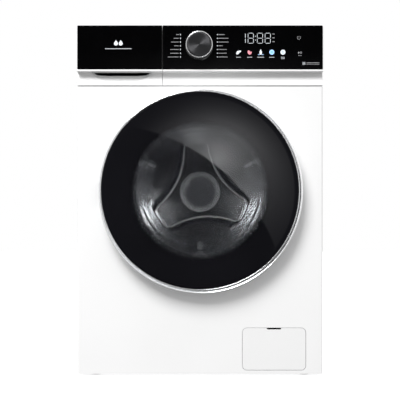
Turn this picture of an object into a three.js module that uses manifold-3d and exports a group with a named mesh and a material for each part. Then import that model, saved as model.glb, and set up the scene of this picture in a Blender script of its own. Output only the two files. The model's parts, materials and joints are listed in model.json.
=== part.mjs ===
// A front loading washing machine as an assembly: cabinet, suspended tub, drum, door, detergent drawer,
// programme knob, filter hatch, pump and feet. Millimetres, +Z up, front facing -Y.
// Inside the machine group, y is the depth behind the front panel's face.
import * as THREE from "three";
import { mergeVertices, toCreasedNormals } from "three/addons/utils/BufferGeometryUtils.js";
import Module from "manifold-3d";

const wasm = await Module();
wasm.setup();

// Overall
const WIDTH = 595;
const HEIGHT = 850;
const DEPTH = 560;
const FRONT_REACH = 40; // the knob stands this far in front of the panel
const REAR_REACH = 15; // the hose stubs stand this far behind the rear panel
const HALF = WIDTH / 2;
const GAP = 0.3; // between pieces that touch
const SHEET = 1; // cabinet sheet
const REAR_SHEET = 1.2; // rear panel, which carries the hose stubs
const WALL = 2; // moulded walls
const ROUND = 32; // flats round the large circles, the same on each so that they nest

// Cabinet
const PLINTH_GAP = 6; // under the panels
const PANEL_TOP = 703.3; // top of the front panel
const PANEL_RETURN = 16; // depth of the front panel's folded edges
const PANEL_CORNER = 4;
const SIDE_FRONT = 16.6;
const SIDE_TOP = 828;
const FLANGE = 14;
const COVER_FRONT = 22.5;
const TRAY_FLOOR = 18; // top of the base tray's floor
const ACCESS_RADIUS = 165; // of the rear panel's opening behind the pulley
const GLAND = { x: -240, z: 110 }; // for the mains cord

// Control panel
const HOUSING_BOTTOM = 705.2;
const HOUSING_BACK = 22;
const FASCIA_BACK = -11;
const FASCIA_FRONT = -14;
const FASCIA_SEAT = -10.7;
const FASCIA_BOTTOM = 743;
const FASCIA_TOP = 848.9;
const FASCIA_SIDE = 296;
const LIP_FRONT = -13.7;
const LIP_BOTTOM = 738;
const SPLIT = -90.8; // between the drawer front and the control panel
const SPLIT_GAP = 1;
const KNOB_X = -1.9;
const KNOB_Z = 800;
const KNOB_RADIUS = 32;
const KNOB_ROUND = 28; // flats round the knob
const CAP_SEAT = -37.5; // back of the knob's metal face

// Detergent drawer
const DRAWER_LEFT = -278;
const DRAWER_RIGHT = -110;
const DRAWER_FLOOR = 724;
const DRAWER_RIM = 800;
const DRAWER_BACK = 250;
const DISPENSER_BACK = 290;
const GRIP = [-263, -117]; // finger grip behind the lip, from left to right
const DISPENSER_TOP = 822;
const INLET = { x: -194, z: 770 }; // water inlet valve
const VALVE_FRONT = 515;
const FILL_X = -186; // hose from the dispenser to the tub

// Door, tub and drum share one horizontal axis
const AXIS_Z = 451;
const PORTHOLE = 187;
const DISH_RADIUS = 206; // edge of the dish that the door closes into
const DISH_DEPTH = 8;
const LATCH_SLOT = [213, 232]; // from the axis
const GLASS_RADIUS = 237;
const GLASS_BACK = -30.5;
const RING_RADIUS = 245;
const RING_SHIFT = [1.5, -2.5]; // the trim ring is a little wider at its lower right
const DOOR_BACK = -4;
const FRAME_RADIUS = 232.7;
const FRAME_FLOOR = -6.5;
const HINGE_X = -229;
const HINGE_Y = -21;
const PIN_RADIUS = 3;
const BORE_RADIUS = 3.4;
const LATCH_X = 220.5;
const LATCH_Y = -16;

const TUB_RADIUS = 266;
const TUB_WALL = 4;
const TUB_FRONT = 70;
const TUB_SEAM = 190;
const TUB_REAR = 450;
const TUB_END = 454;
const NECK_RADIUS = 191;
const DRUM_RADIUS = 250;
const DRUM_FRONT = 82;
const DRUM_REAR = 432;
const DRUM_MOUTH = 185;
const DRUM_SHEET = 1.2;
const HUB_RADIUS = 53;
const PADDLE_HEIGHT = 88;
const SHAFT_RADIUS = 14;
const SHAFT_BORE = 14.5;
const PULLEY_RADIUS = 150;
const PULLEY_FRONT = 506;
const PULLEY_BACK = 518;
const MOTOR_DROP = 332; // from the drum's axis to the motor's
const MOTOR_RADIUS = 58;
const MOTOR_PULLEY = 14;
const BELT_GAP = 0.8;
const BELT_THICKNESS = 3;

// Suspension
const SPRING_X = 245;
const SPRING_Y = 330;
const SPRING_BOTTOM = 650;
const SPRING_TOP = 790;
const DAMPER_X = 150;
const DAMPER_Y = 240;

// Pump and filter hatch
const HATCH = { x: 179.6, z: 66.5, width: 153.3, height: 101.8, corner: 11, gap: 0.85 };
const FILTER_Z = 62;
const FILTER_FRONT = 24;
const PUMP_FRONT = 38.3;
const DRAIN_X = 262;
const DRAIN_Z = 150;

// Feet
const FOOT_X = 255;
const FOOT_Y = [50, 510];

// ---- Solids ----

// A closed three.js geometry as a solid that can be cut and joined.
function solid(geometry) {
  const bare = geometry.index ? geometry.toNonIndexed() : geometry.clone();
  bare.deleteAttribute("normal");
  bare.deleteAttribute("uv");
  const merged = mergeVertices(bare, 1e-4);
  const corners = merged.index.array;
  const point = (i) => new THREE.Vector3().fromBufferAttribute(merged.attributes.position, i);
  const triangles = [];
  let volume = 0;
  for (let i = 0; i < corners.length; i += 3) {
    const [a, b, c] = [corners[i], corners[i + 1], corners[i + 2]];
    if (a === b || b === c || c === a) continue;
    triangles.push([a, b, c]);
    volume += point(a).dot(point(b).cross(point(c)));
  }
  const facingOut = volume > 0 ? triangles : triangles.map(([a, b, c]) => [a, c, b]);
  const mesh = new wasm.Mesh({
    numProp: 3,
    vertProperties: merged.attributes.position.array,
    triVerts: new Uint32Array(facingOut.flat()),
  });
  return new wasm.Manifold(mesh);
}

function toGeometry(body) {
  const mesh = body.getMesh();
  const geometry = new THREE.BufferGeometry();
  geometry.setAttribute("position", new THREE.BufferAttribute(mesh.vertProperties, 3));
  geometry.setIndex(new THREE.BufferAttribute(mesh.triVerts, 1));
  return toCreasedNormals(geometry, 0.6);
}

// A block between pairs of low and high values.
function box(xs, ys, zs) {
  const size = [xs, ys, zs].map(([low, high]) => high - low);
  const centre = [xs, ys, zs].map(([low, high]) => (low + high) / 2);
  return solid(new THREE.BoxGeometry(...size).translate(...centre));
}

// The pair of values a and b on the side of sign: -1 is left, 1 is right.
function span(sign, a, b) {
  return sign > 0 ? [a, b] : [-b, -a];
}

// A ring or disc about the y axis. The profile is a list of [radius, y] that closes on itself or on the axis.
function lathe(profile, segments = ROUND) {
  const points = profile.map(([radius, y]) => new THREE.Vector2(radius, y));
  const onAxis = profile[0][0] === 0 && profile.at(-1)[0] === 0;
  if (!onAxis) points.push(points[0].clone());
  return solid(new THREE.LatheGeometry(points, segments));
}

// Moves a solid made about the drum's axis to that axis's height.
function toMachine(body) {
  return body.translate([0, 0, AXIS_Z]);
}

// A round bar along y, from y0 to y1, at x and z.
function rodY(radius, y0, y1, x = 0, z = 0, segments = 20) {
  const geometry = new THREE.CylinderGeometry(radius, radius, y1 - y0, segments);
  return solid(geometry.translate(x, (y0 + y1) / 2, z));
}

// A round bar along z, from z0 to z1, at x and y.
function rodZ(radius, z0, z1, x = 0, y = 0, segments = 16) {
  const geometry = new THREE.CylinderGeometry(radius, radius, z1 - z0, segments).rotateX(Math.PI / 2);
  return solid(geometry.translate(x, y, (z0 + z1) / 2));
}

// A round bar along x, from x0 to x1, at y and z.
function rodX(radius, x0, x1, y = 0, z = 0, segments = 16) {
  const geometry = new THREE.CylinderGeometry(radius, radius, x1 - x0, segments).rotateZ(Math.PI / 2);
  return solid(geometry.translate((x0 + x1) / 2, y, z));
}

// A front view outline in x and z, from depth y0 to y1.
function plate(shape, y0, y1, curveSegments = 3) {
  const geometry = new THREE.ExtrudeGeometry(shape, { depth: y1 - y0, bevelEnabled: false, curveSegments });
  return solid(geometry.rotateX(Math.PI / 2).translate(0, y1, 0));
}

// A side view outline in y and z, from x0 to x1.
function moulding(shape, x0, x1, curveSegments = 5) {
  const geometry = new THREE.ExtrudeGeometry(shape, { depth: x1 - x0, bevelEnabled: false, curveSegments });
  const axes = new THREE.Matrix4().makeBasis(
    new THREE.Vector3(0, 1, 0),
    new THREE.Vector3(0, 0, 1),
    new THREE.Vector3(1, 0, 0),
  );
  return solid(geometry.applyMatrix4(axes).translate(x0, 0, 0));
}

// A plan view outline in x and y, from z0 to z1.
function slab(shape, z0, z1, curveSegments = 3) {
  const geometry = new THREE.ExtrudeGeometry(shape, { depth: z1 - z0, bevelEnabled: false, curveSegments });
  return solid(geometry.translate(0, 0, z0));
}

function outline(points) {
  return new THREE.Shape(points.map(([a, b]) => new THREE.Vector2(a, b)));
}

// A rectangle about the origin with round corners.
function roundedRectangle(width, height, radius) {
  const [a, b] = [width / 2, height / 2];
  const shape = new THREE.Shape();
  shape.absarc(a - radius, b - radius, radius, 0, Math.PI / 2);
  shape.absarc(-a + radius, b - radius, radius, Math.PI / 2, Math.PI);
  shape.absarc(-a + radius, -b + radius, radius, Math.PI, 1.5 * Math.PI);
  shape.absarc(a - radius, -b + radius, radius, 1.5 * Math.PI, 2 * Math.PI);
  return shape;
}

// A solid hose or bar of round section along a smooth curve through points.
function hose(points, radius, steps = 16, sides = 8) {
  const curve = new THREE.CatmullRomCurve3(points.map((p) => new THREE.Vector3(...p)));
  const section = new THREE.Shape().absarc(0, 0, radius, 0, 2 * Math.PI);
  const options = { extrudePath: curve, steps, curveSegments: sides / 2 };
  return solid(new THREE.ExtrudeGeometry(section, options));
}

// ---- Materials ----

const finish = (color, roughness, metalness) =>
  new THREE.MeshStandardMaterial({ color, roughness, metalness });
const WHITE_PAINT = () => finish(0xf4f4f4, 0.4, 0);
const WHITE_PLASTIC = () => finish(0xf0f0f0, 0.45, 0);
const BLACK_GLOSS = () => finish(0x070708, 0.08, 0);
const DARK_PLASTIC = () => finish(0x24262a, 0.5, 0);
const GREY_PLASTIC = () => finish(0x9a9da1, 0.5, 0);
const CHROME = () => finish(0xd8dadd, 0.12, 1);
const STEEL = () => finish(0xb9bcc0, 0.3, 1);
const ZINC = () => finish(0x9fa3a6, 0.45, 1);
const CAST = () => finish(0x5c5d5f, 0.85, 0.2);
const RUBBER = () => finish(0x55585b, 0.8, 0);
const BLACK_RUBBER = () => finish(0x151515, 0.85, 0);
const BOARD_GREEN = () => finish(0x1f5a3a, 0.6, 0);

function smokedGlass() {
  const glass = finish(0x0a0a0c, 0.05, 0);
  glass.transparent = true;
  glass.opacity = 0.9;
  return glass;
}

function clearGlass() {
  const glass = finish(0xdfe6e8, 0.05, 0);
  glass.transparent = true;
  glass.opacity = 0.3;
  return glass;
}

// ---- Cabinet ----

function frontPanel() {
  const inner = HALF - SHEET;
  const height = [PLINTH_GAP, PANEL_TOP];
  const skin = new THREE.Shape();
  skin.moveTo(-HALF, PANEL_RETURN);
  skin.absarc(-HALF + PANEL_CORNER, PANEL_CORNER, PANEL_CORNER, Math.PI, 1.5 * Math.PI);
  skin.absarc(HALF - PANEL_CORNER, PANEL_CORNER, PANEL_CORNER, 1.5 * Math.PI, 2 * Math.PI);
  skin.lineTo(HALF, PANEL_RETURN);
  skin.lineTo(inner, PANEL_RETURN);
  skin.lineTo(inner, PANEL_CORNER);
  skin.lineTo(HALF - PANEL_CORNER, WALL);
  skin.lineTo(-HALF + PANEL_CORNER, WALL);
  skin.lineTo(-inner, PANEL_CORNER);
  skin.lineTo(-inner, PANEL_RETURN);
  const fold = [[-HALF + 2 * PANEL_CORNER, HALF - 2 * PANEL_CORNER], [SHEET / 2, PANEL_RETURN]];
  const porthole = lathe([
    [DISH_RADIUS + 1, 0],
    [DISH_RADIUS, 0],
    [DISH_RADIUS - 5, DISH_DEPTH],
    [PORTHOLE, DISH_DEPTH],
    [PORTHOLE, 20],
    [PORTHOLE + WALL, 20],
    [PORTHOLE + WALL, DISH_DEPTH + WALL],
    [DISH_RADIUS - 3.5, DISH_DEPTH + WALL],
    [DISH_RADIUS + 1, WALL],
  ]);
  const hatchHole = roundedRectangle(
    HATCH.width + 2 * HATCH.gap,
    HATCH.height + 2 * HATCH.gap,
    HATCH.corner + HATCH.gap,
  );
  return slab(skin, ...height)
    .add(box(...fold, [PANEL_TOP - SHEET, PANEL_TOP]))
    .add(box(...fold, [PLINTH_GAP, PLINTH_GAP + SHEET]))
    .subtract(rodY(DISH_RADIUS, -1, WALL + 1, 0, AXIS_Z, ROUND))
    .add(toMachine(porthole))
    .subtract(plate(hatchHole, -1, WALL + 1).translate([HATCH.x, 0, HATCH.z]))
    .subtract(box(LATCH_SLOT, [-1, WALL + 1], [AXIS_Z - 13, AXIS_Z + 13]));
}

function sidePanel(sign) {
  const back = DEPTH - WALL;
  const section = outline(
    [
      [HALF, SIDE_FRONT],
      [HALF, back],
      [HALF - FLANGE, back],
      [HALF - FLANGE, back - SHEET],
      [HALF - SHEET, back - SHEET],
      [HALF - SHEET, SIDE_FRONT + SHEET],
      [HALF - FLANGE, SIDE_FRONT + SHEET],
      [HALF - FLANGE, SIDE_FRONT],
    ].map(([x, y]) => [sign * x, y]),
  );
  const lug = span(sign, SPRING_X - 9, HALF - SHEET / 2);
  return slab(section, PLINTH_GAP, SIDE_TOP)
    .add(box(lug, [SPRING_Y - 12, SPRING_Y + 12], [SPRING_TOP + 1, SPRING_TOP + 9]))
    .subtract(box(span(sign, HALF - 20, HALF + 1), [SIDE_FRONT - 1, COVER_FRONT], [704, SIDE_TOP + 1]));
}

function rearPanel() {
  const bore = [DEPTH - 3, DEPTH + 1];
  return box([-HALF + SHEET, HALF - SHEET], [DEPTH - REAR_SHEET, DEPTH], [PLINTH_GAP, SIDE_TOP])
    .subtract(rodY(ACCESS_RADIUS, ...bore, 0, AXIS_Z, ROUND))
    .subtract(rodY(12, ...bore, INLET.x, INLET.z))
    .subtract(rodY(12, ...bore, DRAIN_X, DRAIN_Z))
    .subtract(rodY(9, ...bore, GLAND.x, GLAND.z));
}

// A dished disc with a flat rim round the opening.
function rearAccessCover() {
  const [seat, rim, face] = [DEPTH + GAP, DEPTH + 1.8, DEPTH + 8];
  return lathe([
    [0, face],
    [ACCESS_RADIUS - 15, face],
    [ACCESS_RADIUS - 5, rim],
    [ACCESS_RADIUS + 11, rim],
    [ACCESS_RADIUS + 11, seat],
    [ACCESS_RADIUS - 7, seat],
    [ACCESS_RADIUS - 17, face - 1.6],
    [0, face - 1.6],
  ]);
}

function baseTray() {
  const [side, front, back] = [HALF - 2.2, SIDE_FRONT + WALL, DEPTH - 4];
  const inside = [[-side + WALL, side - WALL], [front + WALL, back - WALL]];
  let tray = box([-side, side], [front, back], [TRAY_FLOOR - WALL, TRAY_FLOOR + 12]).subtract(
    box(...inside, [TRAY_FLOOR, TRAY_FLOOR + 20]),
  );
  for (const sign of [-1, 1]) {
    for (const y of FOOT_Y) tray = tray.subtract(rodZ(5.6, 0, 40, sign * FOOT_X, y, 10));
  }
  return tray;
}

function topCover() {
  const [wall, skin, bottom] = [12, 8.6, SIDE_TOP + 0.4];
  const inside = [[-HALF + wall, HALF - wall], [COVER_FRONT + wall, DEPTH - wall]];
  return slab(roundedRectangle(WIDTH, DEPTH - COVER_FRONT, 5), bottom, HEIGHT)
    .translate([0, (DEPTH + COVER_FRONT) / 2, 0])
    .subtract(box(...inside, [bottom - 1, HEIGHT - skin]));
}

function foot() {
  return rodZ(20, 0, 9, 0, 0, 20).add(rodZ(5, 8, 44, 0, 0, 10));
}

// ---- Control panel and drawer ----

// The side view shared by the control housing and the drawer front, as far back as depth back.
function panelProfile(back) {
  const shape = new THREE.Shape();
  shape.moveTo(-2, HOUSING_BOTTOM);
  shape.quadraticCurveTo(1, 724, 8, LIP_BOTTOM - 2); // shaded cove
  shape.lineTo(8, LIP_BOTTOM);
  shape.lineTo(LIP_FRONT + 1, LIP_BOTTOM);
  shape.lineTo(LIP_FRONT, LIP_BOTTOM + 1);
  shape.lineTo(LIP_FRONT, FASCIA_BOTTOM - GAP);
  shape.lineTo(FASCIA_SEAT, FASCIA_BOTTOM - GAP);
  shape.lineTo(FASCIA_SEAT, HEIGHT - 5);
  shape.quadraticCurveTo(FASCIA_SEAT, HEIGHT, 2, HEIGHT);
  shape.lineTo(back, HEIGHT);
  shape.lineTo(back, HOUSING_BOTTOM);
  return shape;
}

function controlHousing() {
  const split = SPLIT + SPLIT_GAP / 2;
  const behindDrawer = box([-HALF, split + 1], [13.3, HOUSING_BACK], [HOUSING_BOTTOM, HEIGHT]);
  const trayHole = box(
    [DRAWER_LEFT - 3, DRAWER_RIGHT + 3],
    [0, HOUSING_BACK + 1],
    [DRAWER_FLOOR - 3, DRAWER_RIM + 3],
  );
  return moulding(panelProfile(HOUSING_BACK), split, HALF)
    .add(behindDrawer)
    .subtract(trayHole)
    .subtract(box([split + 3, HALF - 3], [-8.2, HOUSING_BACK + 1], [746, HEIGHT - 4]))
    .subtract(box([split + 3, HALF - 3], [11, HOUSING_BACK + 1], [HOUSING_BOTTOM + 3, 747]))
    .subtract(rodY(3.8, -15, 0, KNOB_X, KNOB_Z));
}

// A gloss plate in front of the housing, round at the corners of its free end.
function fascia(x0, x1) {
  const shape = roundedRectangle(x1 - x0, FASCIA_TOP - FASCIA_BOTTOM, 1.5);
  const middle = [(x0 + x1) / 2, 0, (FASCIA_TOP + FASCIA_BOTTOM) / 2];
  return plate(shape, FASCIA_FRONT, FASCIA_BACK).translate(middle);
}

function controlFascia() {
  return fascia(SPLIT + SPLIT_GAP / 2, FASCIA_SIDE).subtract(rodY(3.8, -15, 0, KNOB_X, KNOB_Z));
}

function controlBoard() {
  return box([-60, 285], [-4.6, -3], [755, 838])
    .add(box([KNOB_X - 8, KNOB_X + 8], [-4.6, 4], [KNOB_Z - 8, KNOB_Z + 8]))
    .add(box([60, 110], [-3.2, 16], [762, 800]))
    .add(box([200, 224], [-3.2, 12], [790, 820]));
}

// The drawer's face. Fingers go up through the cove into a pocket behind the lip, which runs on into
// the hollow behind the fascia.
function drawerFront() {
  const left = -HALF + 0.5;
  const right = SPLIT - SPLIT_GAP / 2;
  return moulding(panelProfile(12.5), left, right)
    .subtract(box(GRIP, [-9, 9.5], [726, 767]))
    .subtract(box([left + 3, right - 3], [-9, 13], [766, HEIGHT - 5]));
}

function drawerTray() {
  const inside = [
    [DRAWER_LEFT + WALL, -216],
    [-214, -172],
    [-170, DRAWER_RIGHT - WALL],
  ];
  let tray = box([DRAWER_LEFT, DRAWER_RIGHT], [12.8, DRAWER_BACK], [DRAWER_FLOOR, DRAWER_RIM]);
  for (const xs of inside) {
    tray = tray.subtract(
      box(xs, [12.8 + WALL, DRAWER_BACK - WALL], [DRAWER_FLOOR + WALL, DRAWER_RIM + 1]),
    );
  }
  return tray;
}

function dispenserHousing() {
  const outer = [
    [DRAWER_LEFT - 6, DRAWER_RIGHT + 6],
    [HOUSING_BACK + 0.6, DISPENSER_BACK],
    [DRAWER_FLOOR - 6, DISPENSER_TOP],
  ];
  const inner = [
    [DRAWER_LEFT - 4, DRAWER_RIGHT + 4],
    [HOUSING_BACK - WALL, DISPENSER_BACK - WALL],
    [DRAWER_FLOOR - 4, DISPENSER_TOP - WALL],
  ];
  return box(...outer)
    .subtract(box(...inner))
    .add(rodZ(11, 706, DRAWER_FLOOR - 5, FILL_X, DAMPER_Y))
    .add(rodY(8, DISPENSER_BACK - 1, VALVE_FRONT - GAP, INLET.x, INLET.z, 16));
}

function knobBody() {
  const profile = [
    [0, FASCIA_FRONT - GAP],
    [KNOB_RADIUS + 1, FASCIA_FRONT - GAP],
    [KNOB_RADIUS + 1, FASCIA_FRONT - 3],
    [KNOB_RADIUS, FASCIA_FRONT - 4],
    [KNOB_RADIUS, 1.5 - FRONT_REACH],
    [KNOB_RADIUS - 1, 0.4 - FRONT_REACH],
    [KNOB_RADIUS - 2.2, 0.4 - FRONT_REACH],
    [KNOB_RADIUS - 2.2, CAP_SEAT + GAP],
    [0, CAP_SEAT + GAP],
  ];
  return lathe(profile, KNOB_ROUND).add(rodY(3, FASCIA_FRONT - 1, -5, 0, 0, 16));
}

function knobCap() {
  const profile = [
    [0, -FRONT_REACH],
    [KNOB_RADIUS - 4, -FRONT_REACH],
    [KNOB_RADIUS - 2.5, 0.6 - FRONT_REACH],
    [KNOB_RADIUS - 2.5, CAP_SEAT],
    [0, CAP_SEAT],
  ];
  return lathe(profile, KNOB_ROUND);
}

// ---- Door ----

// The space that the door leaves round the hinge bracket.
function hingePocket() {
  return box([-242, -187], [-28.4, 0], [-31, 31]);
}

function trimRing() {
  const outside = lathe([
    [0, -36],
    [RING_RADIUS - 4, -36],
    [RING_RADIUS - 1.5, -34],
    [RING_RADIUS, -30],
    [RING_RADIUS, -14],
    [RING_RADIUS - 9, DOOR_BACK],
    [0, DOOR_BACK],
  ]).translate([RING_SHIFT[0], 0, RING_SHIFT[1]]);
  const glassSeat = rodY(GLASS_RADIUS + 0.6, -40, GLASS_BACK + GAP, 0, 0, ROUND);
  return outside
    .subtract(glassSeat)
    .subtract(rodY(FRAME_RADIUS + 0.6, -40, 0, 0, 0, ROUND))
    .subtract(hingePocket());
}

function outerGlass() {
  return lathe([
    [0, -38],
    [150, -37],
    [225, -35.4],
    [GLASS_RADIUS - 1, -34.4],
    [GLASS_RADIUS, -33],
    [GLASS_RADIUS, GLASS_BACK],
    [0, GLASS_BACK],
  ]);
}

// The glass dish that reaches into the drum's mouth.
function doorBowl() {
  return lathe([
    [0, 97],
    [132, 96],
    [145, 88],
    [153, 75],
    [160, 50],
    [167, 20],
    [170, 5],
    [172.6, -6.8],
    [188, -6.8],
    [188, -10],
    [165.5, -10],
    [155, 50],
    [148, 73],
    [130, 91],
    [0, 92],
  ]);
}

function innerFrame() {
  const front = -29.8;
  const ring = lathe([
    [173.2, DOOR_BACK],
    [173.2, FRAME_FLOOR],
    [192, FRAME_FLOOR],
    [192, front],
    [194, front],
    [194, FRAME_FLOOR],
    [230, FRAME_FLOOR],
    [230, front],
    [FRAME_RADIUS, front],
    [FRAME_RADIUS, DOOR_BACK],
  ]);
  let frame = ring.subtract(hingePocket());
  for (const sign of [-1, 1]) {
    frame = frame.add(box([LATCH_X - 6, LATCH_X + 6], [-22, -6], span(sign, 8, 11)));
  }
  return frame
    .subtract(rodZ(BORE_RADIUS, -13, 13, LATCH_X, LATCH_Y, 12))
    .subtract(box([LATCH_X - 7.5, LATCH_X + 7.5], [-8, 0], [-7, 7]));
}

// Goes from behind the glass round the hinge pin, and stands on the inner frame above and below it.
function hingeArm() {
  const knuckle = rodZ(6.5, -19, 19, HINGE_X, HINGE_Y).add(
    box([HINGE_X + 4, HINGE_X + 14], [-28.8, HINGE_Y + 4], [-19, 19]),
  );
  let arm = box([-218, -200], [-30.1, -28.6], [-58, 58]).add(knuckle);
  for (const sign of [-1, 1]) {
    arm = arm.add(box([-216, -202], [-29, FRAME_FLOOR - GAP], span(sign, 38, 58)));
  }
  return arm.subtract(rodZ(BORE_RADIUS, -20, 20, HINGE_X, HINGE_Y));
}

function hingeBracket() {
  const reach = outline([
    [HINGE_X, -27],
    [-190, -27],
    [-190, 7.7],
    [-198, 7.7],
    [-198, -16],
    [HINGE_X, -16],
  ]);
  let bracket = box([-196, -189], [4.7, 7.7], [-34, 34]);
  for (const sign of [-1, 1]) {
    const [low, high] = span(sign, 20, 27);
    bracket = bracket.add(slab(reach, low, high)).add(rodZ(7, low, high, HINGE_X, HINGE_Y));
  }
  return bracket.subtract(rodZ(BORE_RADIUS, -30, 30, HINGE_X, HINGE_Y));
}

function latchHook() {
  const hook = outline([
    [LATCH_X - 2.5, LATCH_Y],
    [LATCH_X + 2.5, LATCH_Y],
    [LATCH_X + 2.5, 13],
    [LATCH_X + 6.5, 15],
    [LATCH_X + 4, 22],
    [LATCH_X - 2.5, 22],
  ]);
  return slab(hook, -5, 5)
    .add(rodZ(5, -5, 5, LATCH_X, LATCH_Y, 16))
    .add(rodZ(2.6, -11, 11, LATCH_X, LATCH_Y, 12));
}

function doorLock() {
  return box([209.5, 238], [WALL + GAP, 42], [-34, 34]).subtract(box([212, 233.5], [0, 34], [-13, 13]));
}

function doorGasket() {
  return lathe([
    [186.6, 4.5],
    [186.6, 22],
    [206, 30],
    [206, 46],
    [196, 54],
    [196, TUB_FRONT - 1],
    [NECK_RADIUS + 0.6, TUB_FRONT - 1],
    [NECK_RADIUS + 0.6, 54],
    [202, 44.5],
    [202, 33],
    [183, 25.5],
    [172.5, 9],
    [172.5, 4.5],
  ]);
}

// ---- Tub, drum and drive ----

function tubFront() {
  const inner = TUB_RADIUS - TUB_WALL;
  return lathe([
    [NECK_RADIUS, 58],
    [NECK_RADIUS, TUB_FRONT],
    [TUB_RADIUS, TUB_FRONT],
    [TUB_RADIUS, TUB_SEAM - GAP],
    [inner, TUB_SEAM - GAP],
    [inner, TUB_FRONT + TUB_WALL],
    [NECK_RADIUS - 3, TUB_FRONT + TUB_WALL],
    [NECK_RADIUS - 3, 58],
  ]);
}

function tubRear() {
  const inner = TUB_RADIUS - TUB_WALL;
  const shell = lathe([
    [TUB_RADIUS, TUB_SEAM],
    [TUB_RADIUS, TUB_END],
    [45, TUB_END],
    [45, 500],
    [26.5, 500],
    [26.5, 481.5],
    [22, 481.5],
    [22, 473],
    [31.5, 473],
    [31.5, 455.5],
    [20, 455.5],
    [20, TUB_REAR],
    [inner, TUB_REAR],
    [inner, TUB_SEAM],
  ]);
  const sump = box([-55, 55], [220, 370], [-290, -258]);
  const hollow = box([-51, 51], [224, 366], [-286, -256]);
  const shellBore = rodY(inner - 1, 222, 368, 0, 0, ROUND);
  let tub = shell.add(sump.subtract(shellBore)).subtract(hollow);
  for (const sign of [-1, 1]) {
    const spring = SPRING_BOTTOM - AXIS_Z;
    tub = tub
      .add(box(span(sign, 184, SPRING_X + 8), [SPRING_Y - 8, SPRING_Y + 8], [spring - 9, spring - 1]))
      .add(box(span(sign, DAMPER_X - 9, DAMPER_X + 9), [DAMPER_Y - 9, DAMPER_Y + 9], [-229, -206]));
  }
  return tub
    .add(rodZ(11, 182, 204, FILL_X, DAMPER_Y))
    .subtract(box([-24.5, 24.5], [210, 226], [-281, -269]))
    .subtract(rodY(inner, TUB_SEAM - 1, TUB_REAR, 0, 0, ROUND));
}

function frontCounterweight() {
  return lathe([
    [212, 46],
    [262, 46],
    [262, TUB_FRONT - GAP],
    [212, TUB_FRONT - GAP],
  ]);
}

function topCounterweight() {
  const block = box([-80, 130], [220, 360], [TUB_RADIUS - 40, 312]);
  return block.subtract(rodY(TUB_RADIUS + 1.5, 200, 380, 0, 0, ROUND));
}

function heater() {
  const z = -275;
  const points = [
    [-18, 222, z],
    [-18, 300, z],
    [-14, 345, z],
    [0, 356, z],
    [14, 345, z],
    [18, 300, z],
    [18, 222, z],
  ];
  return hose(points, 4, 20, 6)
    .add(box([-24, 24], [214, 226], [z - 5.5, z + 5.5]))
    .add(box([-28, 28], [212, 219.5], [z - 9, z + 9]));
}

function drumShell() {
  const inner = DRUM_RADIUS - DRUM_SHEET;
  const hub = DRUM_REAR - 14; // the rear wall steps forward at the hub
  return lathe([
    [DRUM_MOUTH, DRUM_FRONT],
    [DRUM_RADIUS - 6, DRUM_FRONT],
    [DRUM_RADIUS, DRUM_FRONT + 6],
    [DRUM_RADIUS, DRUM_REAR - 6],
    [DRUM_RADIUS - 6, DRUM_REAR],
    [HUB_RADIUS + 4, DRUM_REAR],
    [HUB_RADIUS, hub],
    [0, hub],
    [0, hub - DRUM_SHEET],
    [HUB_RADIUS + 1, hub - DRUM_SHEET],
    [HUB_RADIUS + 5, DRUM_REAR - DRUM_SHEET],
    [inner - 5, DRUM_REAR - DRUM_SHEET],
    [inner, DRUM_REAR - 6],
    [inner, DRUM_FRONT + 6],
    [inner - 5, DRUM_FRONT + DRUM_SHEET],
    [DRUM_MOUTH, DRUM_FRONT + DRUM_SHEET],
  ]);
}

// A paddle's section: a rounded ridge that stands on the drum's wall at foot and rises towards the axis.
function paddleSection(halfWidth, foot, height) {
  const crest = halfWidth / 3;
  const section = new THREE.Shape();
  section.moveTo(-halfWidth, foot);
  section.quadraticCurveTo(-halfWidth / 2, foot - 40, -crest, foot - height + 14);
  section.quadraticCurveTo(0, foot - height - 10, crest, foot - height + 14);
  section.quadraticCurveTo(halfWidth / 2, foot - 40, halfWidth, foot);
  return section;
}

// A hollow rib along the drum's inner wall, made at the top and turned to its angle by its mesh.
function drumPaddle() {
  const foot = DRUM_RADIUS - DRUM_SHEET - 5;
  const [front, back] = [DRUM_FRONT + 14, DRUM_REAR - 22];
  const slope = outline([
    [front - 1, foot + 1],
    [front + 4, foot + 1],
    [front + 60, foot - PADDLE_HEIGHT - 9],
    [front - 1, foot - PADDLE_HEIGHT - 9],
  ]);
  const rib = plate(paddleSection(34, foot, PADDLE_HEIGHT), front, back);
  const hollow = plate(paddleSection(30, foot + 1, PADDLE_HEIGHT - 6), front + 56, back - 3);
  return rib.subtract(moulding(slope, -50, 50)).subtract(hollow);
}

function drumSpider() {
  let spider = rodY(SHAFT_RADIUS, DRUM_REAR + 2, 524, 0, 0, 24).add(
    rodY(48, DRUM_REAR + GAP, DRUM_REAR + 10, 0, 0, 24),
  );
  for (const turn of [0, 1, 2]) {
    const angle = Math.PI / 6 + (turn * 2 * Math.PI) / 3;
    const arm = new THREE.BoxGeometry(210, 10, 34).translate(130, DRUM_REAR + GAP + 5, 0);
    spider = spider.add(solid(arm.rotateY(-angle)));
  }
  return spider;
}

function bearing(outer, y0, y1) {
  const profile = [
    [SHAFT_BORE, y0],
    [outer, y0],
    [outer, y1],
    [SHAFT_BORE, y1],
  ];
  return lathe(profile, 24);
}

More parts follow.
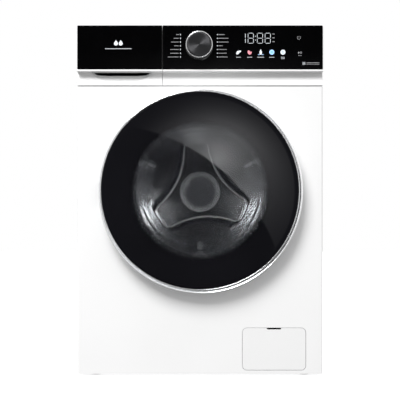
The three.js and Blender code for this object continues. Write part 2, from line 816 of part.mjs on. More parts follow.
function drumPulley() {
  let pulley = lathe([
    [PULLEY_RADIUS - 12, PULLEY_FRONT],
    [PULLEY_RADIUS, PULLEY_FRONT],
    [PULLEY_RADIUS, PULLEY_BACK],
    [PULLEY_RADIUS - 12, PULLEY_BACK],
  ]).add(rodY(30, PULLEY_FRONT - 3, PULLEY_BACK));
  for (let spoke = 0; spoke < 4; spoke++) {
    const arm = new THREE.BoxGeometry(120, 7, 18).translate(82, (PULLEY_FRONT + PULLEY_BACK) / 2, 0);
    pulley = pulley.add(solid(arm.rotateY((spoke * Math.PI) / 2)));
  }
  return pulley.subtract(rodY(SHAFT_BORE, PULLEY_FRONT - 4, PULLEY_BACK + 1));
}

// The belt's inner or outer line round both pulleys, grown by offset.
function beltLine(offset) {
  const [large, small] = [PULLEY_RADIUS + offset, MOTOR_PULLEY + offset];
  const lean = Math.asin((large - small) / MOTOR_DROP);
  const line = new THREE.Shape();
  line.absarc(0, 0, large, -lean, Math.PI + lean);
  line.absarc(0, -MOTOR_DROP, small, Math.PI + lean, 2 * Math.PI - lean);
  return line;
}

function driveBelt() {
  const ys = [PULLEY_FRONT + 1, PULLEY_BACK - 1];
  return plate(beltLine(BELT_GAP + BELT_THICKNESS), ...ys, 12).subtract(
    plate(beltLine(BELT_GAP), ys[0] - 1, ys[1] + 1, 12),
  );
}

function motorHousing() {
  return rodY(MOTOR_RADIUS, 370, 488, 0, 0, 24)
    .add(box([-50, 50], [390, 470], [20, MOTOR_DROP - TUB_RADIUS - 0.7]))
    .subtract(rodY(8, 460, 490, 0, 0, 16));
}

// The pulley on the motor's shaft.
function motorPulley() {
  const pulley = rodY(MOTOR_PULLEY, PULLEY_FRONT - 1, PULLEY_BACK + 1, 0, 0, 24);
  return rodY(6, 465, 522, 0, 0, 16).add(pulley);
}

// ---- Suspension, hoses and pump ----

function spring() {
  const [turns, radius, wire] = [5, 9, 1.8];
  const points = [];
  for (let step = 0; step <= turns * 8; step++) {
    const angle = (step * Math.PI) / 4;
    const z = wire + (step / (turns * 8)) * (SPRING_TOP - SPRING_BOTTOM - 2 * wire);
    points.push([radius * Math.cos(angle), radius * Math.sin(angle), z]);
  }
  return hose(points, wire, turns * 7, 6);
}

function damperRod() {
  return rodZ(5, 30, 172, 0, 0, 12).add(box([-14, 14], [-14, 14], [TRAY_FLOOR + GAP, 36]));
}

function damperTube() {
  return rodZ(14, 120, 221.5, 0, 0, 16).subtract(rodZ(8, 110, 208, 0, 0, 16));
}

function fillHose() {
  const points = [705, 690, 670, AXIS_Z + 205].map((z) => [FILL_X, DAMPER_Y, z]);
  return hose(points, 13, 6, 10);
}

// From the tub's sump to the pump.
function sumpHose() {
  const points = [
    [30, 300, AXIS_Z - 290.5],
    [30, 300, 130],
    [48, 255, 96],
    [80, 160, 72],
    [116, 95, FILTER_Z],
    [HATCH.x - 39, 95, FILTER_Z],
  ];
  return hose(points, 15, 12, 10);
}

// The housing of the pump, about the filter's axis.
function drainPump() {
  const profile = [
    [30, PUMP_FRONT],
    [34, PUMP_FRONT],
    [34, 124],
    [27, 126],
    [27, 178],
    [0, 178],
    [0, 120],
    [30, 120],
  ];
  const base = box([-22, 22], [60, 150], [TRAY_FLOOR + GAP - FILTER_Z, -24]);
  return lathe(profile, 24)
    .add(rodX(15, -38, -32, 95))
    .add(rodZ(9, 30, 46, 14, 100))
    .add(base.subtract(rodY(29.9, 50, 160, 0, 0, 24)));
}

function pumpFilter() {
  const profile = [
    [0, FILTER_FRONT + 10],
    [32, FILTER_FRONT + 10],
    [32, PUMP_FRONT - GAP],
    [29.4, PUMP_FRONT - GAP],
    [29.4, 50],
    [23, 50],
    [23, 110],
    [0, 110],
  ];
  return lathe(profile, 24).add(box([-26, 26], [FILTER_FRONT, FILTER_FRONT + 11], [-5, 5]));
}

// From the pump to the stub behind the rear panel.
function drainHose() {
  const points = [
    [HATCH.x + 14, 100, FILTER_Z + 46.5],
    [HATCH.x + 14, 100, 124],
    [HATCH.x + 24, 106, 148],
    [235, 135, 160],
    [DRAIN_X, 190, 160],
    [DRAIN_X, 400, 152],
    [DRAIN_X, 540, DRAIN_Z],
    [DRAIN_X, DEPTH + REAR_REACH, DRAIN_Z],
  ];
  return hose(points, 10, 22, 8);
}

function inletValve() {
  const { x, z } = INLET;
  return box([x - 20, x + 20], [VALVE_FRONT, DEPTH - WALL], [z - 18, z + 18])
    .add(rodY(10, DEPTH - 3, DEPTH + REAR_REACH, x, z))
    .add(box([x - 12, x + 12], [VALVE_FRONT + 9, VALVE_FRONT + 31], [z + 17, z + 36]));
}

function cableGland() {
  const { x, z } = GLAND;
  return rodY(8, 548, DEPTH + 12, x, z)
    .add(rodY(13, DEPTH + GAP, DEPTH + 6, x, z, 6))
    .subtract(rodY(4, 540, DEPTH + 20, x, z, 12));
}

function filterHatch() {
  const { width, height, corner } = HATCH;
  const notch = outline([
    [-18, height / 2 + 1],
    [-16, height / 2 - 3.6],
    [16, height / 2 - 3.6],
    [18, height / 2 + 1],
  ]);
  const rim = roundedRectangle(width - 8, height - 18, 7);
  const hollow = roundedRectangle(width - 12, height - 22, 5);
  return plate(roundedRectangle(width, height, corner), 0, WALL, 4)
    .subtract(plate(notch, -1, WALL + 1))
    .add(plate(rim, 1, 8, 2).subtract(plate(hollow, 0, 9, 2)));
}

// ---- Assembly ----

const root = new THREE.Group();
const machine = new THREE.Group();
machine.position.y = FRONT_REACH - (FRONT_REACH + DEPTH + REAR_REACH) / 2;
root.add(machine);

// A nested group at x, y and z inside the machine.
function groupAt(x, y, z) {
  const group = new THREE.Group();
  group.position.set(x, y, z);
  machine.add(group);
  return group;
}

function piece(group, name, body, material, place = [0, 0, 0]) {
  const mesh = new THREE.Mesh(toGeometry(body), material);
  mesh.name = name;
  mesh.position.set(...place);
  group.add(mesh);
  return mesh;
}

const cabinet = groupAt(0, 0, 0);
const axis = groupAt(0, 0, AXIS_Z);
const motor = groupAt(0, 0, AXIS_Z - MOTOR_DROP);
const knob = groupAt(KNOB_X, 0, KNOB_Z);
const pump = groupAt(HATCH.x, 0, FILTER_Z);

piece(cabinet, "front_panel", frontPanel(), WHITE_PAINT());
piece(cabinet, "left_side_panel", sidePanel(-1), WHITE_PAINT());
piece(cabinet, "right_side_panel", sidePanel(1), WHITE_PAINT());
piece(cabinet, "rear_panel", rearPanel(), ZINC());
piece(axis, "rear_access_cover", rearAccessCover(), ZINC());
piece(cabinet, "base_tray", baseTray(), ZINC());
piece(cabinet, "top_cover", topCover(), WHITE_PLASTIC());
piece(cabinet, "control_housing", controlHousing(), WHITE_PLASTIC());
piece(cabinet, "control_fascia", controlFascia(), BLACK_GLOSS());
piece(cabinet, "control_board", controlBoard(), BOARD_GREEN());
piece(cabinet, "dispenser_housing", dispenserHousing(), GREY_PLASTIC());
piece(cabinet, "inlet_valve", inletValve(), WHITE_PLASTIC());
piece(cabinet, "cable_gland", cableGland(), DARK_PLASTIC());
piece(cabinet, "drain_hose", drainHose(), RUBBER());
piece(pump, "drain_pump", drainPump(), DARK_PLASTIC());
piece(axis, "door_lock", doorLock(), DARK_PLASTIC());
piece(axis, "hinge_bracket", hingeBracket(), STEEL());
piece(axis, "hinge_pin", rodZ(PIN_RADIUS, -29, 29, HINGE_X, HINGE_Y, 16), STEEL());
piece(axis, "door_gasket", doorGasket(), RUBBER());

piece(axis, "tub_front", tubFront(), GREY_PLASTIC());
piece(axis, "tub_rear", tubRear(), GREY_PLASTIC());
piece(axis, "counterweight_front", frontCounterweight(), CAST());
piece(axis, "counterweight_top", topCounterweight(), CAST());
piece(axis, "heater_element", heater(), STEEL());
piece(axis, "bearing_front", bearing(31, 456, 472.5), STEEL());
piece(axis, "bearing_rear", bearing(26, 482, 497), STEEL());
piece(motor, "motor_housing", motorHousing(), ZINC());
piece(motor, "motor_pulley", motorPulley(), STEEL());
piece(axis, "drive_belt", driveBelt(), BLACK_RUBBER());

piece(axis, "drum_shell", drumShell(), STEEL());
piece(axis, "drum_spider", drumSpider(), ZINC());
piece(axis, "drum_pulley", drumPulley(), ZINC());
for (const turn of [0, 1, 2]) {
  const paddle = piece(axis, `drum_paddle_${turn + 1}`, drumPaddle(), STEEL());
  paddle.rotation.y = Math.PI / 3 + (turn * 2 * Math.PI) / 3;
}

for (const [side, sign] of [
  ["left", -1],
  ["right", 1],
]) {
  const damperAt = [sign * DAMPER_X, DAMPER_Y, 0];
  piece(cabinet, `spring_${side}`, spring(), STEEL(), [sign * SPRING_X, SPRING_Y, SPRING_BOTTOM]);
  piece(cabinet, `damper_rod_${side}`, damperRod(), STEEL(), damperAt);
  piece(cabinet, `damper_tube_${side}`, damperTube(), DARK_PLASTIC(), damperAt);
  piece(cabinet, `foot_front_${side}`, foot(), BLACK_RUBBER(), [sign * FOOT_X, FOOT_Y[0], 0]);
  piece(cabinet, `foot_rear_${side}`, foot(), BLACK_RUBBER(), [sign * FOOT_X, FOOT_Y[1], 0]);
}
piece(cabinet, "fill_hose", fillHose(), RUBBER());
piece(cabinet, "sump_hose", sumpHose(), RUBBER());

piece(axis, "door_trim_ring", trimRing(), CHROME());
piece(axis, "door_outer_glass", outerGlass(), smokedGlass());
piece(axis, "door_bowl", doorBowl(), clearGlass());
piece(axis, "door_inner_frame", innerFrame(), WHITE_PLASTIC());
piece(axis, "door_hinge_arm", hingeArm(), STEEL());
piece(axis, "latch_hook", latchHook(), STEEL());

piece(cabinet, "drawer_front", drawerFront(), WHITE_PLASTIC());
piece(cabinet, "drawer_fascia", fascia(-FASCIA_SIDE, SPLIT - SPLIT_GAP / 2), BLACK_GLOSS());
piece(cabinet, "drawer_tray", drawerTray(), GREY_PLASTIC());
piece(knob, "programme_knob", knobBody(), CHROME());
piece(knob, "knob_cap", knobCap(), STEEL());
piece(cabinet, "filter_hatch", filterHatch(), WHITE_PAINT(), [HATCH.x, 0, HATCH.z]);
piece(pump, "pump_filter", pumpFilter(), DARK_PLASTIC());

export default root;
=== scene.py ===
"""The looks of a front loading washing machine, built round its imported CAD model. Metres, +Z up, front facing -Y."""

import json
import math
import random

import bmesh
import bpy
from mathutils import Matrix, Vector

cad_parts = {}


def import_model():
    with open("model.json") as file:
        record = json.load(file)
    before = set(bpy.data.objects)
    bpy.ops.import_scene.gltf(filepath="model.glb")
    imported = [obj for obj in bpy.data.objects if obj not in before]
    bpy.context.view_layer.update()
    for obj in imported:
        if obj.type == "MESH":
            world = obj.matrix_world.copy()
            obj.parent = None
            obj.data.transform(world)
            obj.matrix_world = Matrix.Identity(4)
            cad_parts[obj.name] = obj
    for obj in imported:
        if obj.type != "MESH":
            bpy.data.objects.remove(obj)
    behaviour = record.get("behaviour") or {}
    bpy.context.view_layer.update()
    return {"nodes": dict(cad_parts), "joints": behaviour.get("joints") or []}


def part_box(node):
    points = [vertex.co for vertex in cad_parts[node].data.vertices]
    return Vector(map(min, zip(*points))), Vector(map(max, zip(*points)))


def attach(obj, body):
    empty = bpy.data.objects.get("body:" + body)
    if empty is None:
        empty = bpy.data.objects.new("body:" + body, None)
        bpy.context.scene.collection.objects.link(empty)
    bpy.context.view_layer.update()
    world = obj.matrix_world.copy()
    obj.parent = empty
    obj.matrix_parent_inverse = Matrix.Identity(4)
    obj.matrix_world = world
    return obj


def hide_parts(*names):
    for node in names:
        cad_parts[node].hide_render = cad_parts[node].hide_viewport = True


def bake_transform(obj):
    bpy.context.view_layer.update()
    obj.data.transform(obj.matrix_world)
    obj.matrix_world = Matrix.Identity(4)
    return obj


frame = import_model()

MM = 0.001
JOINTS = {joint["name"]: joint for joint in frame["joints"]}
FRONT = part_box("front_panel")[0].y  # the front panel's face
AXIS = Vector((0, FRONT, JOINTS["drum_spin"]["pos_m"][2]))  # of the drum and the door, on that face
KNOB = Vector((JOINTS["knob_turn"]["pos_m"][0], FRONT, JOINTS["knob_turn"]["pos_m"][2]))
RANDOM = random.Random(7)


def place(x, depth, z):
    """A point x and z millimetres across and up, and depth millimetres behind the front panel's face."""
    return Vector((x * MM, FRONT + depth * MM, z * MM))


def node_mm(node):
    """A CAD node's lowest and highest corners as (x, depth, z) in millimetres."""
    low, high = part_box(node)
    return [Vector((p.x, p.y - FRONT, p.z)) / MM for p in (low, high)]


# ---------------------------------------------------------------- materials


def shader_nodes(name):
    """A new material with its node tree and its Principled shader."""
    material = bpy.data.materials.new(name)
    material.use_nodes = True
    tree = material.node_tree
    return material, tree, tree.nodes["Principled BSDF"]


def noise_texture(tree, scale, detail=3.0, stretch=(1, 1, 1)):
    """Noise in the object's own coordinates, in features per metre, stretched along an axis for brushed metal."""
    coordinates = tree.nodes.new("ShaderNodeTexCoord")
    mapping = tree.nodes.new("ShaderNodeMapping")
    mapping.inputs["Scale"].default_value = stretch
    noise = tree.nodes.new("ShaderNodeTexNoise")
    noise.inputs["Scale"].default_value = scale
    noise.inputs["Detail"].default_value = detail
    tree.links.new(coordinates.outputs["Object"], mapping.inputs["Vector"])
    tree.links.new(mapping.outputs["Vector"], noise.inputs["Vector"])
    return noise.outputs["Fac"]


def map_range(tree, value, low, high):
    """Stretches the middle of a noise's range over low to high."""
    node = tree.nodes.new("ShaderNodeMapRange")
    node.inputs["From Min"].default_value = 0.3
    node.inputs["From Max"].default_value = 0.7
    node.inputs["To Min"].default_value = low
    node.inputs["To Max"].default_value = high
    tree.links.new(value, node.inputs["Value"])
    return node.outputs["Result"]


def shade(colour, factor):
    return (*(min(1.0, channel * factor) for channel in colour), 1.0)


def finish(
    name,
    colour,
    roughness,
    metallic=0.0,
    mottle=(14, 0.03),
    spread=0.15,
    grain=(900, 0.06),
    stretch=(1, 1, 1),
    coat=0.0,
    specular=0.5,
):
    """A finish whose colour and gloss wander a little, over a fine grain. mottle and grain are (scale, amount)."""
    material, tree, shader = shader_nodes(name)
    wander = noise_texture(tree, mottle[0], stretch=stretch)
    mix = tree.nodes.new("ShaderNodeMix")
    mix.data_type = "RGBA"
    mix.inputs["A"].default_value = shade(colour, 1 - mottle[1])
    mix.inputs["B"].default_value = shade(colour, 1 + mottle[1])
    tree.links.new(map_range(tree, wander, 0, 1), mix.inputs["Factor"])
    tree.links.new(mix.outputs["Result"], shader.inputs["Base Color"])
    gloss = map_range(tree, wander, roughness * (1 - spread), roughness * (1 + spread))
    tree.links.new(gloss, shader.inputs["Roughness"])
    bump = tree.nodes.new("ShaderNodeBump")
    bump.inputs["Strength"].default_value = grain[1]
    bump.inputs["Distance"].default_value = 0.2 * MM
    tree.links.new(noise_texture(tree, grain[0], 2.0, stretch), bump.inputs["Height"])
    tree.links.new(bump.outputs["Normal"], shader.inputs["Normal"])
    shader.inputs["Metallic"].default_value = metallic
    shader.inputs["Coat Weight"].default_value = coat
    shader.inputs["Coat Roughness"].default_value = 0.08
    shader.inputs["Specular IOR Level"].default_value = specular
    return material


def ink(name, colour, glow):
    """Printed or lit marks: a slightly uneven colour that also shines by itself."""
    material, tree, shader = shader_nodes(name)
    uneven = noise_texture(tree, 400, 2.0)
    mix = tree.nodes.new("ShaderNodeMix")
    mix.data_type = "RGBA"
    mix.inputs["A"].default_value = shade(colour, 0.85)
    mix.inputs["B"].default_value = shade(colour, 1.0)
    tree.links.new(map_range(tree, uneven, 0, 1), mix.inputs["Factor"])
    tree.links.new(mix.outputs["Result"], shader.inputs["Base Color"])
    tree.links.new(mix.outputs["Result"], shader.inputs["Emission Color"])
    shader.inputs["Emission Strength"].default_value = glow
    shader.inputs["Roughness"].default_value = 0.5
    return material


def radius_from_axis(tree, centre):
    """The distance in metres of a point of the surface from a line along Y through centre."""
    coordinates = tree.nodes.new("ShaderNodeTexCoord")
    offset = tree.nodes.new("ShaderNodeVectorMath")
    offset.operation = "SUBTRACT"
    offset.inputs[1].default_value = centre
    flat = tree.nodes.new("ShaderNodeVectorMath")
    flat.operation = "MULTIPLY"
    flat.inputs[1].default_value = (1, 0, 1)
    length = tree.nodes.new("ShaderNodeVectorMath")
    length.operation = "LENGTH"
    tree.links.new(coordinates.outputs["Object"], offset.inputs[0])
    tree.links.new(offset.outputs["Vector"], flat.inputs[0])
    tree.links.new(flat.outputs["Vector"], length.inputs[0])
    return length.outputs["Value"]


def smoked_glass(clear_radius, border_radius):
    """Dark tinted glass that turns to a black printed border between the two radii."""
    material, tree, shader = shader_nodes("smoked_glass")
    border = tree.nodes.new("ShaderNodeMapRange")
    border.interpolation_type = "SMOOTHSTEP"
    border.inputs["From Min"].default_value = clear_radius
    border.inputs["From Max"].default_value = border_radius
    border.inputs["To Min"].default_value = 0.62
    border.inputs["To Max"].default_value = 1.0
    tree.links.new(radius_from_axis(tree, AXIS), border.inputs["Value"])
    tree.links.new(border.outputs["Result"], shader.inputs["Alpha"])
    smudges = noise_texture(tree, 6, 4.0)
    tree.links.new(map_range(tree, smudges, 0.015, 0.035), shader.inputs["Roughness"])
    mix = tree.nodes.new("ShaderNodeMix")
    mix.data_type = "RGBA"
    mix.inputs["A"].default_value = (0.004, 0.004, 0.005, 1)
    mix.inputs["B"].default_value = (0.008, 0.008, 0.01, 1)
    tree.links.new(smudges, mix.inputs["Factor"])
    tree.links.new(mix.outputs["Result"], shader.inputs["Base Color"])
    return material


def hub_metal_painted_light(painted_shade_radius, painted_highlight_radius):
    """Satin metal whose colour is painted light: painted shade, dark, inside the first radius, and a painted highlight,
    near white, on the rim from the second radius outwards.
    """
    material, tree, shader = shader_nodes("hub_metal_painted_light")
    painted_rim_highlight = tree.nodes.new("ShaderNodeMapRange")
    painted_rim_highlight.interpolation_type = "SMOOTHSTEP"
    painted_rim_highlight.inputs["From Min"].default_value = painted_shade_radius
    painted_rim_highlight.inputs["From Max"].default_value = painted_highlight_radius
    tree.links.new(radius_from_axis(tree, AXIS), painted_rim_highlight.inputs["Value"])
    # the colour is painted light: dark painted shade on the hub's dish, near-white painted highlight on its rim
    mix = tree.nodes.new("ShaderNodeMix")
    mix.data_type = "RGBA"
    mix.inputs["A"].default_value = (0.24, 0.245, 0.26, 1)
    mix.inputs["B"].default_value = (0.95, 0.96, 0.98, 1)
    tree.links.new(painted_rim_highlight.outputs["Result"], mix.inputs["Factor"])
    tree.links.new(mix.outputs["Result"], shader.inputs["Base Color"])
    tree.links.new(map_range(tree, noise_texture(tree, 60), 0.3, 0.38), shader.inputs["Roughness"])
    shader.inputs["Metallic"].default_value = 0.1
    return material


def clear_glass():
    material, tree, shader = shader_nodes("clear_glass")
    ripple = noise_texture(tree, 20, 1.0)
    bump = tree.nodes.new("ShaderNodeBump")
    bump.inputs["Strength"].default_value = 0.02
    bump.inputs["Distance"].default_value = MM
    tree.links.new(ripple, bump.inputs["Height"])
    tree.links.new(bump.outputs["Normal"], shader.inputs["Normal"])
    tree.links.new(map_range(tree, ripple, 0.0, 0.03), shader.inputs["Roughness"])
    shader.inputs["Base Color"].default_value = (0.93, 0.95, 0.96, 1)
    shader.inputs["Transmission Weight"].default_value = 1.0
    shader.inputs["IOR"].default_value = 1.47
    return material


def spun_metal():
    """Dark metal turned on a lathe: fine rings round the knob's axis that spread light into wedges."""
    material, tree, shader = shader_nodes("spun_metal")
    rings = tree.nodes.new("ShaderNodeTexNoise")
    rings.noise_dimensions = "1D"
    rings.inputs["Scale"].default_value = 2500
    rings.inputs["Detail"].default_value = 4
    tree.links.new(radius_from_axis(tree, KNOB), rings.inputs["W"])
    bump = tree.nodes.new("ShaderNodeBump")
    bump.inputs["Strength"].default_value = 0.15
    bump.inputs["Distance"].default_value = 0.05 * MM
    tree.links.new(rings.outputs["Fac"], bump.inputs["Height"])
    tree.links.new(bump.outputs["Normal"], shader.inputs["Normal"])
    tree.links.new(map_range(tree, rings.outputs["Fac"], 0.28, 0.4), shader.inputs["Roughness"])
    mix = tree.nodes.new("ShaderNodeMix")
    mix.data_type = "RGBA"
    mix.inputs["A"].default_value = (0.03, 0.03, 0.032, 1)
    mix.inputs["B"].default_value = (0.075, 0.075, 0.078, 1)
    tree.links.new(map_range(tree, rings.outputs["Fac"], 0, 1), mix.inputs["Factor"])
    tree.links.new(mix.outputs["Result"], shader.inputs["Base Color"])
    shader.inputs["Metallic"].default_value = 1.0
    shader.inputs["Anisotropic"].default_value = 0.9
    tangent = tree.nodes.new("ShaderNodeTangent")
    tangent.direction_type = "RADIAL"
    tangent.axis = "Y"
    tree.links.new(tangent.outputs["Tangent"], shader.inputs["Tangent"])
    return material


WHITE_PAINT = finish("white_paint", (0.86, 0.86, 0.86), 0.38, mottle=(6, 0.006), grain=(700, 0.05), coat=0.15)
WHITE_PLASTIC = finish("white_plastic", (0.82, 0.82, 0.82), 0.45, mottle=(8, 0.008), grain=(1500, 0.1))
# The top board is a mid grey, darker than the white body: painted shade against the strong light that falls on the top.
TOP_BOARD_PAINTED_SHADE = finish("top_board_painted_shade", (0.64, 0.64, 0.64), 0.5, mottle=(8, 0.012), grain=(900, 0.15))
BLACK_GLOSS = finish("black_gloss", (0.0012, 0.0012, 0.0014), 0.05, mottle=(30, 0.2), grain=(60, 0.003), coat=0.5)
SMOKED_GLASS = smoked_glass(0.150, 0.176)
CLEAR_GLASS = clear_glass()
BRIGHT_TRIM = finish("bright_trim", (0.93, 0.935, 0.945), 0.14, 1.0, mottle=(40, 0.02), grain=(500, 0.02))
SPUN_METAL = spun_metal()
# The star's ribs are near white and matte, unlike the steel round them: a painted highlight along the star's edges.
RIB_PAINTED_HIGHLIGHT = finish("rib_painted_highlight", (0.9, 0.91, 0.93), 0.35, 0.0, mottle=(25, 0.04), grain=(1200, 0.08))
# the hub's colour is painted shade inside 37 mm and a painted highlight on its rim from 53 mm outwards
HUB_METAL_PAINTED_LIGHT = hub_metal_painted_light(0.037, 0.053)
DRUM_STEEL = finish("drum_steel", (0.62, 0.63, 0.65), 0.24, 1.0, mottle=(25, 0.04), grain=(1200, 0.08), stretch=(1, 0.15, 1))
PADDLE_PLASTIC = finish("paddle_plastic", (0.36, 0.37, 0.39), 0.3, mottle=(20, 0.03), grain=(1100, 0.08))
CAST_ALLOY = finish("cast_alloy", (0.5, 0.51, 0.52), 0.5, 0.9, mottle=(40, 0.08), grain=(500, 0.3))
GALVANISED = finish("galvanised_sheet", (0.55, 0.57, 0.58), 0.42, 0.8, mottle=(60, 0.12), spread=0.3, grain=(160, 0.08))
STEEL = finish("steel", (0.58, 0.59, 0.6), 0.32, 1.0, mottle=(60, 0.05), grain=(1400, 0.1))
TUB_PLASTIC = finish("tub_plastic", (0.5, 0.51, 0.52), 0.55, mottle=(15, 0.04), grain=(800, 0.2))
TRAY_PLASTIC = finish("tray_plastic", (0.66, 0.69, 0.73), 0.4, mottle=(15, 0.02), grain=(1000, 0.1))
GREY_RUBBER = finish("grey_rubber", (0.13, 0.135, 0.14), 0.6, mottle=(30, 0.08), grain=(1300, 0.25))
BLACK_RUBBER = finish("black_rubber", (0.02, 0.02, 0.02), 0.65, mottle=(30, 0.1), grain=(900, 0.3))
DARK_PLASTIC = finish("dark_plastic", (0.03, 0.03, 0.033), 0.45, mottle=(30, 0.08), grain=(1400, 0.2))
COUNTERWEIGHT = finish("counterweight", (0.16, 0.16, 0.165), 0.85, 0.1, mottle=(50, 0.2), grain=(260, 0.9))
CIRCUIT_BOARD = finish("circuit_board", (0.03, 0.16, 0.08), 0.4, mottle=(80, 0.15), grain=(300, 0.3))
LIT_WHITE = ink("lit_white", (0.72, 0.76, 0.8), 0.45)
LIT_DIM = ink("lit_dim", (0.5, 0.52, 0.55), 0.3)
PRINT_GREY = ink("print_grey", (0.3, 0.3, 0.31), 0.1)
LIT_RED = ink("lit_red", (0.75, 0.28, 0.33), 0.45)
LIT_BLUE = ink("lit_blue", (0.35, 0.58, 0.9), 0.6)


# ---------------------------------------------------------------- mesh helpers


def arc(x, y, radius, start, end, steps=6):
    """Points on an arc, with angles in degrees."""
    angles = [math.radians(start + (end - start) * i / steps) for i in range(steps + 1)]
    return [(x + radius * math.cos(a), y + radius * math.sin(a)) for a in angles]


def curve_through(points, steps=5):
    """A smooth line through points (Catmull-Rom), ends included."""
    path = [Vector(p) for p in points]
    path = [2 * path[0] - path[1], *path, 2 * path[-1] - path[-2]]
    line = []
    for a, b, c, d in zip(path, path[1:], path[2:], path[3:]):
        for i in range(steps):
            t = i / steps
            line.append(
                0.5 * ((2 * b) + (c - a) * t + (2 * a - 5 * b + 4 * c - d) * t * t + (3 * b - a - 3 * c + d) * t**3)
            )
    return [tuple(p) for p in line] + [tuple(points[-1])]


def rounded_rectangle(width, height, corner, centre=(0, 0), steps=6):
    x, z = width / 2 - corner, height / 2 - corner
    points = []
    for sx, sz, start in ((1, 1, 0), (-1, 1, 90), (-1, -1, 180), (1, -1, 270)):
        points += arc(centre[0] + sx * x, centre[1] + sz * z, corner, start, start + 90, steps)
    return points


def revolve(profile, centre=AXIS, steps=144, closed=True, bm=None):
    """Turns (radius, depth) points in millimetres about the line along Y through centre."""
    bm = bm or bmesh.new()
    turns = [(math.cos(2 * math.pi * i / steps), math.sin(2 * math.pi * i / steps)) for i in range(steps)]
    rings = []
    for radius, depth in profile:
        spots = turns if radius > 1e-6 else [(0, 0)]
        ring = [bm.verts.new(centre + Vector((radius * c, depth, radius * s)) * MM) for c, s in spots]
        rings.append(ring if radius > 1e-6 else ring * steps)
    pairs = list(zip(rings, rings[1:]))
    if closed and not (profile[0][0] < 1e-6 and profile[-1][0] < 1e-6):
        pairs.append((rings[-1], rings[0]))
    for a, b in pairs:
        for i in range(steps):
            j = (i + 1) % steps
            corners = list(dict.fromkeys((a[i], a[j], b[j], b[i])))
            if len(corners) > 2:
                bm.faces.new(corners)
    return bm


def prism(outline, direction, start, end, bm=None):
    """Extrudes an outline in millimetres along x, y (depth) or z, from start to end."""
    bm = bm or bmesh.new()
    spot = {
        "x": lambda a, b, t: place(t, a, b),
        "y": lambda a, b, t: place(a, t, b),
        "z": lambda a, b, t: place(a, b, t),
    }[direction]
    ends = [[bm.verts.new(spot(a, b, t)) for a, b in outline] for t in (start, end)]
    bm.faces.new(ends[0])
    bm.faces.new(ends[1])
    count = len(outline)
    for i in range(count):
        j = (i + 1) % count
        bm.faces.new((ends[0][i], ends[0][j], ends[1][j], ends[1][i]))
    return bm


def block(x, depth, z, bm=None):
    """A box between pairs of millimetre limits."""
    return prism([(x[0], z[0]), (x[1], z[0]), (x[1], z[1]), (x[0], z[1])], "y", depth[0], depth[1], bm)


def rod(centre, radius, direction, start, end, steps=24, bm=None):
    """A round bar along x, y or z; centre is in the other two coordinates, in their usual order."""
    ring = arc(centre[0], centre[1], radius, 0, 360 - 360 / steps, steps - 1)
    return prism(ring, direction, start, end, bm)


def tube(points, radius, sides=16, smooth=6):
    """A closed round tube along a smooth line through millimetre points (x, depth, z)."""
    path = [place(*p) for p in (curve_through(points, smooth) if smooth > 1 else points)]
    bm = bmesh.new()
    forward = (path[1] - path[0]).normalized()
    side = forward.orthogonal().normalized()
    rings = []
    for i, point in enumerate(path):
        ahead, behind = path[min(i + 1, len(path) - 1)], path[max(i - 1, 0)]
        direction = (ahead - behind).normalized()
        side = (side - direction * side.dot(direction)).normalized()
        other = direction.cross(side)
        width = radius(i / (len(path) - 1)) if callable(radius) else radius
        rings.append(
            [
                bm.verts.new(point + (side * math.cos(a) + other * math.sin(a)) * width * MM)
                for a in (2 * math.pi * k / sides for k in range(sides))
            ]
        )
    for a, b in zip(rings, rings[1:]):
        for k in range(sides):
            m = (k + 1) % sides
            bm.faces.new((a[k], a[m], b[m], b[k]))
    bm.faces.new(rings[0])
    bm.faces.new(rings[-1])
    return bm


def joined(parts):
    """One bmesh out of several."""
    bm = bmesh.new()
    for part in parts:
        mesh = bpy.data.meshes.new("part")
        part.to_mesh(mesh)
        part.free()
        bm.from_mesh(mesh)
        bpy.data.meshes.remove(mesh)
    return bm


def to_mesh(name, bm, smooth_below=35):
    bmesh.ops.remove_doubles(bm, verts=bm.verts, dist=1e-6)
    bmesh.ops.recalc_face_normals(bm, faces=bm.faces)
    mesh = bpy.data.meshes.new(name)
    bm.to_mesh(mesh)
    bm.free()
    mesh.shade_smooth()
    mesh.set_sharp_from_angle(angle=math.radians(smooth_below))
    return mesh


def linked(name, mesh):
    item = bpy.data.objects.new(name, mesh)
    bpy.context.scene.collection.objects.link(item)
    return item


def cut(bm, *cutters):
    """bm with the closed cutters taken out of it."""
    target = linked("cut_target", to_mesh("cut_target", bm))
    tools = [linked("cutter", to_mesh("cutter", cutter)) for cutter in cutters]
    for tool in tools:
        modifier = target.modifiers.new("cut", "BOOLEAN")
        modifier.operation = "DIFFERENCE"
        modifier.object = tool
    bpy.context.view_layer.update()
    result = bmesh.new()
    result.from_object(target, bpy.context.evaluated_depsgraph_get())
    for item in (target, *tools):
        bpy.data.objects.remove(item)
    return result


def piece(name, bm, body, material, stands_for=(), edge=0.0, segments=2, smooth_below=35):
    """A named piece that rides on body, or, where body is a tuple, stays where it is built, on no body. Its sharp edges
    are rounded by edge millimetres.
    """
    item = linked(name, to_mesh(name, bm, smooth_below))
    item.data.materials.append(material)
    if edge:
        bevel = item.modifiers.new("rounded_edges", "BEVEL")
        bevel.width = edge * MM
        bevel.segments = segments
        bevel.limit_method = "ANGLE"
        bevel.angle_limit = math.radians(smooth_below)
        bevel.harden_normals = True
    if isinstance(body, str):
        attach(item, body)
    else:
        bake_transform(item)
    if stands_for:
        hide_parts(*stands_for)
    return item


# ---------------------------------------------------------------- cabinet

